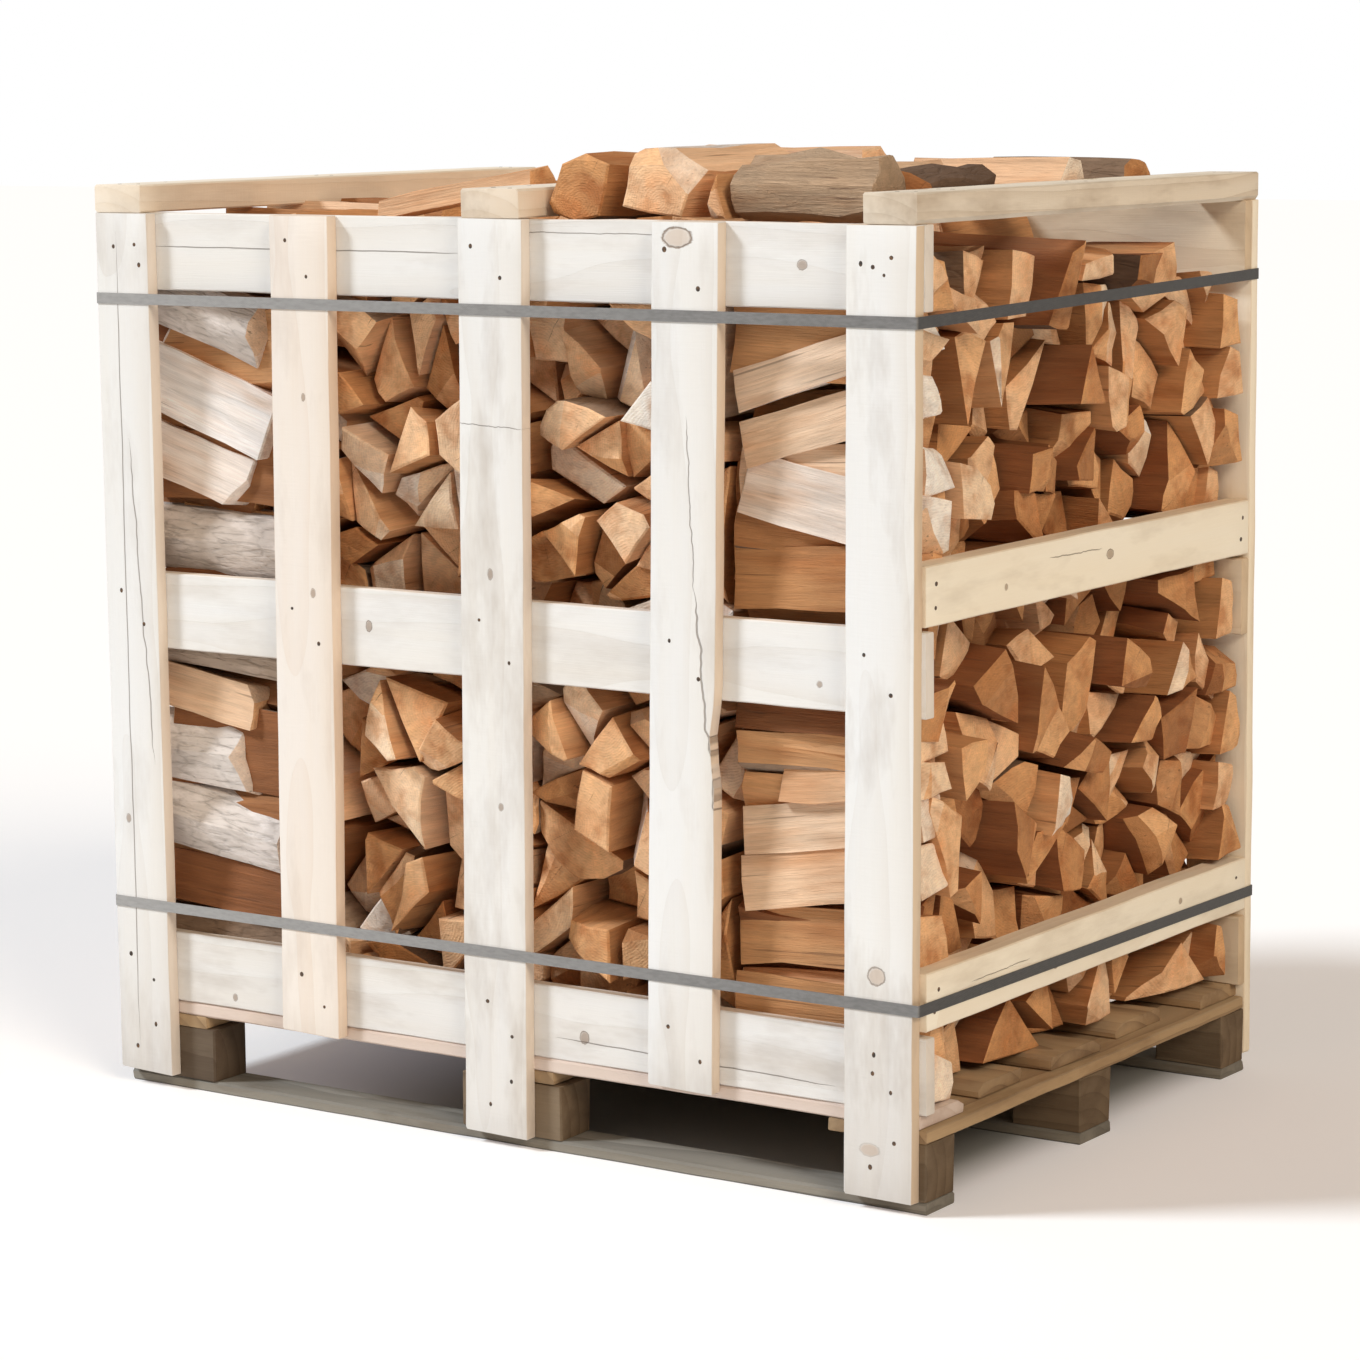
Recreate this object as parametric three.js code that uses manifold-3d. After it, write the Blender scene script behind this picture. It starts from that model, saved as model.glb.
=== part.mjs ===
import * as THREE from 'three';
import * as BufferGeometryUtils from 'three/addons/utils/BufferGeometryUtils.js';
import Module from 'manifold-3d';

const wasm = await Module();
wasm.setup();

// All sizes in mm. X runs along the long side, -Y is the front, Z is up from the floor.
const halfLength = 600;
const halfPallet = 400;
const slatThick = 18;
const boardThick = 18;
const gap = 0.3;

// Heights of the pallet's layers and of the crate's rim.
const bottomBoardTop = 14;
const blockTop = 82;
const crossTop = 98;
const deckTop = 115;
const rimHeight = 1120;
const battenTop = 1155;

// The side rails stand on the long boards' upper edges, flush with the crate's ends.
const railThick = 32;
const railSpans = { low: [213, 280], middle: [674, 743] };
const boardSpans = { low: [deckTop + gap, 205], middle: [571, 668], top: [1024, rimHeight - gap] };

// Where the stacks meet, and how far the log ends may stand out.
const innerY = halfPallet - boardThick - 0.5;
const rowEdge = 130.7;
const centreLeft = -343;
const centreRight = 322;
const endReach = 592;
const railReach = halfLength - railThick - 1;
const windowReach = halfPallet - 4;

// How far log ends stand back, the clefts between them, and the solid core that they stand on.
const usualRecess = 56;
const deepShare = 0.07;
const deepRecess = [62, 20];
const sideRecess = 0.3;
const cleft = 1.5;
const coreDepth = 112;
const coreSide = 14;
const coreUnder = 34;

// Areas, in square mm, at which a piece of wood is split again.
const splitAbove = 9700;
const splitSpread = 3600;

const strapWidth = 13.5;
const strapThick = 1;

const colours = {
  crate: 0xf0e2c6,
  pallet: 0xa58a66,
  strap: 0x4a4b4d,
  log: 0xc48a55,
  bark: 0x8c7864,
};

const part = new THREE.Group();
part.name = 'pallet_of_firewood';

function addSolid(name, geometry, colour, roughness = 0.85) {
  const material = new THREE.MeshStandardMaterial({ color: colour, roughness, metalness: 0 });
  const mesh = new THREE.Mesh(geometry, material);
  mesh.name = name;
  part.add(mesh);
}

// Extrudes an outline. Its two numbers are (y, z) along x, (x, z) along y and (x, y) along z.
function extrude(outline, axis, from, to) {
  const shape = new THREE.Shape(outline.map(([a, b]) => new THREE.Vector2(a, b)));
  const geometry = new THREE.ExtrudeGeometry(shape, { depth: to - from, bevelEnabled: false });
  const turn = new THREE.Matrix4();
  const unitX = new THREE.Vector3(1, 0, 0);
  const unitY = new THREE.Vector3(0, 1, 0);
  const unitZ = new THREE.Vector3(0, 0, 1);
  if (axis === 'x') {
    turn.makeBasis(unitY, unitZ, unitX);
    geometry.applyMatrix4(turn);
    geometry.translate(from, 0, 0);
  } else if (axis === 'y') {
    turn.makeBasis(unitX, unitZ, unitY.clone().negate());
    geometry.applyMatrix4(turn);
    geometry.translate(0, to, 0);
  } else {
    geometry.translate(0, 0, from);
  }
  return geometry;
}

// A rectangle with a bevel of its own on each corner, from the lower left round to the upper left.
function bevelled([a0, a1], [b0, b1], bevels) {
  const [lowLeft, lowRight, highRight, highLeft] = bevels;
  return [
    [a0 + lowLeft[0], b0],
    [a1 - lowRight[0], b0],
    [a1, b0 + lowRight[1]],
    [a1, b1 - highRight[1]],
    [a1 - highRight[0], b1],
    [a0 + highLeft[0], b1],
    [a0, b1 - highLeft[1]],
    [a0, b0 + lowLeft[1]],
  ];
}

const sawn = [[1.5, 1.5], [1.5, 1.5], [1.5, 1.5], [1.5, 1.5]];

// Columns and rows of the pallet's blocks, with the boards over and under them.

const columns = {
  left: { block: [-590, -458], cross: [-600, -470] },
  centre: { block: [-60, 88], cross: [-50, 78] },
  right: { block: [505, 600], cross: [468, 600] },
};
const rows = {
  front: { block: [-400, -338], bottom: [-400, -336] },
  middle: { block: [-38, 38], bottom: [-40, 40] },
  back: { block: [338, 400], bottom: [336, 400] },
};

for (const [row, at] of Object.entries(rows)) {
  const outline = bevelled(at.bottom, [0, bottomBoardTop], [[2, 2], [2, 2], [3, 3], [3, 3]]);
  addSolid(`bottom_board_${row}`, extrude(outline, 'x', -598, halfLength), colours.pallet);
}

for (const [column, across] of Object.entries(columns)) {
  for (const [row, along] of Object.entries(rows)) {
    const outline = bevelled(across.block, along.block, [[2, 2], [2, 2], [2, 2], [2, 2]]);
    const solid = extrude(outline, 'z', bottomBoardTop + gap, blockTop - gap);
    addSolid(`block_${column}_${row}`, solid, colours.pallet);
  }
  const outline = bevelled(across.cross, [blockTop, crossTop - gap], sawn);
  addSolid(`cross_board_${column}`, extrude(outline, 'y', -halfPallet, halfPallet), colours.pallet);
}

// Deck boards, front to back: span in Y, ends in X, and the bark-side bevel on each upper edge.
const deckBoards = [
  { span: [-400, -300], ends: [-592, 591], front: [3, 3], back: [12, 7] },
  { span: [-242, -140], ends: [-585, 576], front: [16, 9], back: [4, 3] },
  { span: [-82, 42], ends: [-594, 584], front: [5, 4], back: [20, 10] },
  { span: [104, 222], ends: [-580, 572], front: [18, 10], back: [6, 4] },
  { span: [300, 400], ends: [-590, 588], front: [10, 6], back: [3, 3] },
];
deckBoards.forEach(({ span, ends, front, back }, index) => {
  const outline = bevelled(span, [crossTop, deckTop], [[2, 2], [2, 2], back, front]);
  addSolid(`deck_board_${index + 1}`, extrude(outline, 'x', ends[0], ends[1]), colours.pallet);
});

// Upright slats: middle of the foot and of the head, width, lower end.
const slats = [
  { foot: -557.5, head: -557.5, width: 85, lower: 20 },
  { foot: -283, head: -272, width: 90, lower: 103 },
  { foot: 4, head: 17, width: 92, lower: 15 },
  { foot: 274, head: 294, width: 91, lower: 107 },
  { foot: 545, head: 554.5, width: 90, lower: 15 },
];

// The fourth slat has a chipped edge: height and depth of the chip along its right side.
const chip = [[470, 0], [498, 4], [530, 7], [566, 2], [590, 0]];

function slatOutline({ foot, head, width, lower }, chipped) {
  const half = width / 2;
  const lean = (height) => foot + ((head - foot) * (height - lower)) / (rimHeight - lower);
  const outline = [[foot - half + 2, lower + 1], [foot + half, lower - 1]];
  if (chipped) {
    chip.forEach(([height, depth]) => outline.push([lean(height) + half - depth, height]));
  }
  outline.push([head + half, rimHeight - 1], [head + half - 1, rimHeight]);
  outline.push([head - half + 1, rimHeight], [head - half, rimHeight - 1], [foot - half, lower + 4]);
  return outline;
}

const walls = {
  front: {
    flip: 1,
    slat: [-halfPallet - slatThick, -halfPallet - gap],
    board: [-halfPallet, -halfPallet + boardThick],
  },
  back: {
    flip: -1,
    slat: [halfPallet + gap, halfPallet + slatThick],
    board: [halfPallet - boardThick, halfPallet],
  },
};

for (const [side, wall] of Object.entries(walls)) {
  slats.forEach((slat, index) => {
    const outline = slatOutline(slat, index === 3).map(([x, z]) => [x * wall.flip, z]);
    const solid = extrude(outline, 'y', wall.slat[0], wall.slat[1]);
    addSolid(`${side}_slat_${index + 1}`, solid, colours.crate);
  });
  for (const [level, span] of Object.entries(boardSpans)) {
    const outline = bevelled(wall.board, span, sawn);
    addSolid(`${side}_board_${level}`, extrude(outline, 'x', -599, halfLength), colours.crate);
  }
}

for (const [side, outer] of [['left', -1], ['right', 1]]) {
  for (const [level, span] of Object.entries(railSpans)) {
    const across = [outer * halfLength, outer * (halfLength - railThick)].sort((a, b) => a - b);
    const outline = bevelled(across, span, sawn);
    addSolid(`${side}_rail_${level}`, extrude(outline, 'y', -halfPallet, halfPallet), colours.crate);
  }
}

// Battens lie flat across the rim. The outer ones have a bark-side bevel under their outer edge.
const battens = {
  left: { span: [-600, -525], bevels: [[3, 3], [2, 2], [2, 2], [3, 3]] },
  centre: { span: [-25, 60], bevels: [[2, 2], [2, 2], [3, 3], [3, 3]] },
  right: { span: [530, 600], bevels: [[2, 2], [4, 5], [2, 2], [2, 2]] },
};
for (const [place, { span, bevels }] of Object.entries(battens)) {
  const outline = bevelled(span, [rimHeight + gap, battenTop], bevels);
  const reach = halfPallet + slatThick;
  addSolid(`batten_${place}`, extrude(outline, 'y', -reach, reach), colours.crate);
}

// A band round the crate: lower edge at the left front corner, and its rise to the right back one.
function strap(name, lower, rise) {
  const ring = (offset, radius) => {
    const x = halfLength + gap + offset;
    const y = halfPallet + slatThick + gap + offset;
    const path = new THREE.Path();
    path.absarc(x - radius, y - radius, radius, 0, Math.PI / 2);
    path.absarc(-x + radius, y - radius, radius, Math.PI / 2, Math.PI);
    path.absarc(-x + radius, -y + radius, radius, Math.PI, Math.PI * 1.5);
    path.absarc(x - radius, -y + radius, radius, Math.PI * 1.5, Math.PI * 2);
    return path.getPoints(2);
  };
  const shape = new THREE.Shape(ring(strapThick, 1.6));
  shape.holes.push(new THREE.Path(ring(0, 0.6)));
  const geometry = new THREE.ExtrudeGeometry(shape, { depth: strapWidth, bevelEnabled: false });
  const place = geometry.attributes.position;
  for (let i = 0; i < place.count; i += 1) {
    const right = (place.getX(i) + halfLength) / (2 * halfLength);
    const back = (place.getY(i) + halfPallet) / (2 * halfPallet);
    place.setZ(i, place.getZ(i) + lower + rise * right * back);
  }
  addSolid(name, geometry, colours.strap, 0.5);
}
strap('strap_upper', 1006.5, 14);
strap('strap_lower', 234, -6);

// Draws numbers between 0 and 1, the same ones for the same seed.
function makeRandom(seed) {
  let state = seed;
  return () => {
    state = (state * 16807) % 2147483647;
    return state / 2147483647;
  };
}

// Keeps the part of a convex outline on the side that the normal points away from.
function clip(outline, [pointA, pointB], [normalA, normalB]) {
  const kept = [];
  outline.forEach(([a, b], index) => {
    const [nextA, nextB] = outline[(index + 1) % outline.length];
    const here = (a - pointA) * normalA + (b - pointB) * normalB;
    const next = (nextA - pointA) * normalA + (nextB - pointB) * normalB;
    if (here <= 0) {
      kept.push([a, b]);
    }
    if (here < 0 !== next < 0 && here !== next) {
      const share = here / (here - next);
      kept.push([a + (nextA - a) * share, b + (nextB - b) * share]);
    }
  });
  return kept;
}

function measure(outline) {
  let area = 0;
  let sumA = 0;
  let sumB = 0;
  let edge = 0;
  outline.forEach(([a, b], index) => {
    const [nextA, nextB] = outline[(index + 1) % outline.length];
    const cross = a * nextB - nextA * b;
    area += cross / 2;
    sumA += (a + nextA) * cross;
    sumB += (b + nextB) * cross;
    edge += Math.hypot(nextA - a, nextB - b);
  });
  return { area, edge, middle: [sumA / (6 * area), sumB / (6 * area)] };
}

// Moves every edge of a convex outline outwards.
function grow(outline, amount) {
  let grown = [[-5000, -5000], [5000, -5000], [5000, 5000], [-5000, 5000]];
  outline.forEach(([a, b], index) => {
    const [nextA, nextB] = outline[(index + 1) % outline.length];
    const run = Math.hypot(nextA - a, nextB - b);
    if (run > 0.5) {
      const normal = [(nextB - b) / run, (a - nextA) / run];
      grown = clip(grown, [a + normal[0] * amount, b + normal[1] * amount], normal);
    }
  });
  return grown;
}

// Splits a round of wood into billets: each cut goes through the middle, and a big half is cut again.
function splitRound(outline, random) {
  const done = [];
  const waiting = [{ outline, turn: random() * Math.PI, cuts: 0 }];
  while (waiting.length) {
    const { outline: piece, turn, cuts } = waiting.pop();
    const { area, middle } = measure(piece);
    const limit = splitAbove + splitSpread * random();
    const angle = turn + (random() - 0.5) * 0.9;
    const nudge = (random() - 0.5) * 16;
    const normal = [Math.cos(angle), Math.sin(angle)];
    const point = [middle[0] + normal[0] * nudge, middle[1] + normal[1] * nudge];
    const halves = [clip(piece, point, normal), clip(piece, point, [-normal[0], -normal[1]])];
    const fine = halves.every((half) => {
      const size = measure(half);
      return size.area > 1500 && (size.edge * size.edge) / size.area < 30;
    });
    if (cuts < 4 && fine && area > limit) {
      halves.forEach((half) => {
        waiting.push({ outline: half, turn: angle + Math.PI / 2, cuts: cuts + 1 });
      });
    } else {
      done.push(piece);
    }
  }
  return done;
}

// Billets that fill a stack's end face. roofs lists [from, to, top]; each billet gets its outline,
// how far its end stands back from the reach, and the slope of its end.
function layBillets({ seed, span, floor, roofs, pitch }) {
  const random = makeRandom(seed);
  const tallest = Math.max(...roofs.map((roof) => roof[2]));
  const columnCount = Math.round((span[1] - span[0]) / pitch);
  const rowCount = Math.round((tallest - floor) / (pitch * 0.9));
  const stepA = (span[1] - span[0]) / columnCount;
  const stepB = (tallest - floor) / rowCount;
  const rounds = [];
  for (let row = 0; row < rowCount; row += 1) {
    for (let column = 0; column < columnCount; column += 1) {
      const shift = row % 2 ? 0.72 : 0.28;
      rounds.push([
        span[0] + stepA * (column + shift + (random() - 0.5) * 0.5),
        floor + stepB * (row + 0.5 + (random() - 0.5) * 0.5),
      ]);
    }
  }
  const billets = [];
  rounds.forEach(([a, b], index) => {
    let cell = [[span[0], floor], [span[1], floor], [span[1], tallest], [span[0], tallest]];
    rounds.forEach(([otherA, otherB], other) => {
      if (other !== index && cell.length) {
        cell = clip(cell, [(a + otherA) / 2, (b + otherB) / 2], [otherA - a, otherB - b]);
      }
    });
    splitRound(cell, random).forEach((piece) => {
      const draws = Array.from({ length: 8 }, () => random());
      const lowA = Math.min(...piece.map((corner) => corner[0]));
      const highA = Math.max(...piece.map((corner) => corner[0]));
      const middleB = measure(piece).middle[1];
      let outline = piece;
      if (lowA < span[0] + 1) {
        const tilt = (draws[0] - 0.5) * 0.5;
        const point = [span[0] + 3 + draws[1] * 15, middleB];
        outline = clip(outline, point, [-Math.cos(tilt), Math.sin(tilt)]);
      }
      if (highA > span[1] - 1) {
        const tilt = (draws[0] - 0.5) * 0.5;
        const point = [span[1] - 3 - draws[1] * 15, middleB];
        outline = clip(outline, point, [Math.cos(tilt), Math.sin(tilt)]);
      }
      const above = roofs.filter((roof) => roof[0] < highA + 1 && roof[1] > lowA - 1);
      const top = Math.min(...above.map((roof) => roof[2]));
      const slope = (draws[2] - 0.5) * 0.7;
      const point = [slope > 0 ? highA : lowA, top - draws[3] * 12];
      outline = clip(outline, point, [-Math.sin(slope), Math.cos(slope)]);
      if (outline.length > 2 && measure(outline).area > 1000) {
        const side = lowA < span[0] + 1 || highA > span[1] - 1;
        const deep = draws[4] < deepShare;
        const recess = deep ? deepRecess[0] + draws[5] * deepRecess[1] : draws[5] * usualRecess;
        const slopes = [(draws[6] - 0.5) * 0.24, (draws[7] - 0.5) * 0.24];
        const edge = side || outline.length !== piece.length;
        billets.push({ outline, back: side ? recess * sideRecess : recess, slopes, edge });
      }
    });
  });
  return billets;
}

function toManifold(geometry) {
  geometry.deleteAttribute('normal');
  geometry.deleteAttribute('uv');
  const merged = BufferGeometryUtils.mergeVertices(geometry, 1e-5);
  const mesh = new wasm.Mesh({
    numProp: 3,
    vertProperties: new Float32Array(merged.attributes.position.array),
    triVerts: new Uint32Array(merged.index.array),
  });
  return new wasm.Manifold(mesh);
}

function fromManifold(solid) {
  const mesh = solid.getMesh();
  const geometry = new THREE.BufferGeometry();
  geometry.setAttribute('position', new THREE.BufferAttribute(new Float32Array(mesh.vertProperties), 3));
  geometry.setIndex(new THREE.BufferAttribute(new Uint32Array(mesh.triVerts), 1));
  geometry.computeVertexNormals();
  return geometry;
}

// How far out a billet may reach, given the rails or boards at its height.
function reachOf(outline, { near, far, spans }) {
  const heights = outline.map((corner) => corner[1]);
  const low = Math.min(...heights) - 2;
  const high = Math.max(...heights) + 2;
  return Object.values(spans).some(([from, to]) => from < high && to > low) ? near : far;
}

// One billet's end, standing on the core. A billet at the stack's edge runs the stack's whole depth.
function billetSolid({ outline, back, slopes, edge }, stack) {
  const slim = grow(outline, -cleft);
  const reach = reachOf(outline, stack);
  const { middle } = measure(slim);
  const rise = ([a, b]) => (a - middle[0]) * slopes[0] + (b - middle[1]) * slopes[1];
  const most = Math.max(...slim.map(rise));
  const from = edge ? stack.inner : corePlane(stack) - Math.sign(reach) * 3;
  const solid = extrude(slim, stack.axis, Math.min(from, reach), Math.max(from, reach));
  const place = solid.attributes.position;
  for (let i = 0; i < place.count; i += 1) {
    const value = stack.axis === 'x' ? place.getX(i) : place.getY(i);
    if (Math.abs(value - reach) < 1) {
      const corner = [stack.axis === 'x' ? place.getY(i) : place.getX(i), place.getZ(i)];
      const end = reach - Math.sign(reach) * (back + most - rise(corner));
      if (stack.axis === 'x') {
        place.setX(i, end);
      } else {
        place.setY(i, end);
      }
    }
  }
  return toManifold(solid);
}

function corePlane({ near }) {
  return Math.sign(near) * (Math.abs(near) - coreDepth);
}

// The stack's solid middle, behind its billets' ends and under its roofs.
function coreSolid(stack) {
  const { span, floor, roofs } = stack.lay;
  const outline = [[span[0] + coreSide, floor], [span[1] - coreSide, floor]];
  [...roofs].reverse().forEach(([from, to, top]) => {
    outline.push([Math.min(to, span[1] - coreSide), top - coreUnder]);
    outline.push([Math.max(from, span[0] + coreSide), top - coreUnder]);
  });
  const ends = [stack.inner - Math.sign(stack.near) * 0.4, corePlane(stack)].sort((a, b) => a - b);
  return toManifold(extrude(outline, stack.axis, ends[0], ends[1]));
}

const stacks = {
  stack_left: {
    axis: 'x', inner: centreLeft - 1.2, near: -railReach, far: -endReach, spans: railSpans,
    lay: {
      seed: 4127, span: [-innerY, innerY], floor: deckTop + 1, pitch: 130,
      roofs: [[-innerY, -210, 1108], [-210, innerY, 1124]],
    },
  },
  stack_right: {
    axis: 'x', inner: centreRight + 1.2, near: railReach, far: endReach, spans: railSpans,
    lay: {
      seed: 9203, span: [-innerY, innerY], floor: deckTop + 1, pitch: 130,
      roofs: [[-innerY, -200, 1092], [-200, 110, 1104], [110, 290, 1080], [290, innerY, 1042]],
    },
  },
  stack_front: {
    axis: 'y', inner: -rowEdge - 1, near: -innerY, far: -windowReach, spans: boardSpans,
    lay: {
      seed: 3301, span: [centreLeft, centreRight], floor: deckTop + 1, pitch: 126,
      roofs: [
        [centreLeft, -272, 1136], [-272, -180, 1104], [-180, -27, 1110], [-27, 62, 1118],
        [62, centreRight, 1117],
      ],
    },
  },
  stack_back: {
    axis: 'y', inner: rowEdge + 1, near: innerY, far: windowReach, spans: boardSpans,
    lay: {
      seed: 7741, span: [centreLeft, centreRight], floor: deckTop + 1, pitch: 130,
      roofs: [[centreLeft, -27, 1146], [-27, 62, 1118], [62, centreRight, 1150]],
    },
  },
};

for (const [name, stack] of Object.entries(stacks)) {
  const billets = layBillets(stack.lay).map((billet) => billetSolid(billet, stack));
  const whole = billets.reduce((joined, billet) => joined.add(billet), coreSolid(stack));
  addSolid(name, fromManifold(whole), colours.log);
}

// The middle row is hidden but for the ridges of its top billets.
const ridge = [
  [centreRight, 1064], [290, 1102], [236, 1114], [204, 1088], [150, 1112], [96, 1108], [66, 1082],
  [40, 1116], [-28, 1112], [-38, 1146], [-84, 1158], [-116, 1118], [-160, 1140], [-214, 1154],
  [-236, 1122], [-258, 1160], [-300, 1158], [-316, 1118], [centreLeft, 1098],
];
const middleOutline = [[centreLeft, deckTop + 1], [centreRight, deckTop + 1], ...ridge];
addSolid('stack_middle', extrude(middleOutline, 'y', -rowEdge, rowEdge), colours.log);

// Loose logs on the heap: section as (across, up), middle, length, turn from Y about Z, and rise in degrees.
const looseLogs = [
  {
    section: [[-40, -32], [28, -36], [46, 24], [8, 38], [-22, 26], [-48, -20]],
    middle: [117, -248, 1158], length: 246, turn: -2, rise: 0,
  },
  {
    section: [[-50, -28], [30, -38], [52, 16], [10, 42], [-40, 34]],
    middle: [224, -250, 1160], length: 244, turn: 1, rise: 0,
  },
  { section: [[-15, -26], [14, -26], [2, 26]], middle: [296, -244, 1145], length: 236, turn: 0, rise: 0 },
  {
    section: [[-34, -28], [-10, -35], [22, -33], [38, -10], [33, 18], [10, 35], [-20, 32], [-38, 6]],
    middle: [412, -320, 1155], length: 196, turn: 88, rise: 0,
  },
  {
    section: [[-36, -38], [34, -38], [40, 16], [14, 38], [-30, 34]],
    middle: [205, -62, 1160], length: 252, turn: 91, rise: 0,
  },
  {
    section: [[-28, -22], [4, -28], [30, -18], [32, 12], [10, 28], [-22, 22], [-34, 0]],
    middle: [490, -188, 1148], length: 178, turn: 4, rise: 0,
  },
  {
    section: [[-44, -30], [40, -30], [24, 26], [-8, 32]],
    middle: [412, 78, 1150], length: 224, turn: 86, rise: 0,
  },
  { section: [[-30, -28], [36, -26], [8, 32]], middle: [392, -120, 1149], length: 210, turn: 3, rise: 0 },
  {
    section: [[-32, -22], [0, -30], [30, -22], [34, 8], [8, 24], [-26, 20]],
    middle: [428, 236, 1150], length: 196, turn: 96, rise: 0,
  },
  {
    section: [[-30, -12], [32, -13], [26, 12], [-16, 16]],
    middle: [-150, -240, 1141], length: 236, turn: -88, rise: 9.4,
  },
];

looseLogs.forEach(({ section, middle, length, turn, rise }, index) => {
  const solid = extrude(section, 'y', -length / 2, length / 2);
  solid.rotateX(THREE.MathUtils.degToRad(rise));
  solid.rotateZ(THREE.MathUtils.degToRad(turn));
  solid.translate(...middle);
  const barky = [4, 6, 9].includes(index + 1);
  addSolid(`top_log_${index + 1}`, solid, barky ? colours.bark : colours.log);
});

export default part;
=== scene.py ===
import math

import bmesh
import bpy
from mathutils import Matrix, Vector, noise


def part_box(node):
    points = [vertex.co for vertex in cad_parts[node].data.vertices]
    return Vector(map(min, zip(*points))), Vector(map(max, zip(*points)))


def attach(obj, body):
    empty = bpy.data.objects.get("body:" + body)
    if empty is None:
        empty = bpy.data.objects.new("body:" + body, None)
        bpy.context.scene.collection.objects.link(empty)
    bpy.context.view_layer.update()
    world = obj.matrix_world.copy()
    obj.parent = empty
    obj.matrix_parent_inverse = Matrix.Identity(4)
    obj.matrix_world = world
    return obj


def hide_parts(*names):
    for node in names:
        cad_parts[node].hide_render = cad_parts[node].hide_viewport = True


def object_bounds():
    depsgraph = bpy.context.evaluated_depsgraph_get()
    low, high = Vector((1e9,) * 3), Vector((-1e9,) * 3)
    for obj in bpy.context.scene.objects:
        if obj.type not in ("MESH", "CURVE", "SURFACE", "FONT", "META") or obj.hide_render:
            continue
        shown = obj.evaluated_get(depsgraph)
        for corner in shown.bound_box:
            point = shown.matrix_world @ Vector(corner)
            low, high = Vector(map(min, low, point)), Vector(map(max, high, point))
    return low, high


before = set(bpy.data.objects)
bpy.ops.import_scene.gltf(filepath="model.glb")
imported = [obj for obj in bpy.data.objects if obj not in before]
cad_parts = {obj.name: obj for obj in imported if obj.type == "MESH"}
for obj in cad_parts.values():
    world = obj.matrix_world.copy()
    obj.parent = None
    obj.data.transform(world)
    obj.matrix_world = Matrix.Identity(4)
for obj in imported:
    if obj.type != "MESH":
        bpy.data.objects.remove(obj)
noise.seed_set(11)  # the surfaces wander the same way each run
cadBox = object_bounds()
print("frame loaded:", len(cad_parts), "nodes")


# Shader helpers. A link value is a socket to join or a number to set.
def addNode(tree, kind, links=None, **settings):
    node = tree.nodes.new(kind)
    for name, value in settings.items():
        setattr(node, name, value)
    for socket, value in (links or {}).items():
        if isinstance(value, bpy.types.NodeSocket):
            tree.links.new(value, node.inputs[socket])
        else:
            node.inputs[socket].default_value = value
    return node


def newGroup(name, inputs, outputs):
    group = bpy.data.node_groups.new(name, "ShaderNodeTree")
    for label, value in inputs.items():
        kind = {1: "NodeSocketFloat", 3: "NodeSocketVector", 4: "NodeSocketColor"}[len(value)]
        socket = group.interface.new_socket(label, in_out="INPUT", socket_type=kind)
        socket.default_value = value[0] if len(value) == 1 else value
    for label, kind in outputs.items():
        group.interface.new_socket(label, in_out="OUTPUT", socket_type=f"NodeSocket{kind}")
    return group, addNode(group, "NodeGroupInput").outputs, addNode(group, "NodeGroupOutput").inputs


def math2(tree, operation, first, second=0.0, clamp=False):
    return addNode(tree, "ShaderNodeMath", {0: first, 1: second}, operation=operation, use_clamp=clamp).outputs[0]


def stretch(tree, vector, scale):
    return addNode(tree, "ShaderNodeVectorMath", {0: vector, 1: scale}, operation="MULTIPLY").outputs[0]


def speckle(tree, vector, scale, detail=3.0, roughness=0.55, distortion=0.0):
    links = {"Vector": stretch(tree, vector, scale), "Scale": 1.0, "Detail": detail}
    links.update({"Roughness": roughness, "Distortion": distortion})
    return addNode(tree, "ShaderNodeTexNoise", links).outputs["Fac"]


def remap(tree, value, low, high, toLow=0.0, toHigh=1.0, smooth=False):
    kind = "SMOOTHSTEP" if smooth else "LINEAR"
    links = {"Value": value, "From Min": low, "From Max": high, "To Min": toLow, "To Max": toHigh}
    return addNode(tree, "ShaderNodeMapRange", links, interpolation_type=kind, clamp=True).outputs[0]


def blendColours(tree, factor, first, second, kind="MIX"):
    node = addNode(tree, "ShaderNodeMix", data_type="RGBA", blend_type=kind)
    for index, value in ((0, factor), (6, first), (7, second)):
        if isinstance(value, bpy.types.NodeSocket):
            tree.links.new(value, node.inputs[index])
        else:
            node.inputs[index].default_value = value
    return node.outputs[2]


def colourRamp(tree, value, stops):
    node = addNode(tree, "ShaderNodeValToRGB", {"Fac": value})
    ramp = node.color_ramp
    while len(ramp.elements) < len(stops):
        ramp.elements.new(0.5)
    for element, (place, colour) in zip(ramp.elements, stops):
        element.position = place
        element.color = (*colour, 1.0)
    return node.outputs["Color"]


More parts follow.
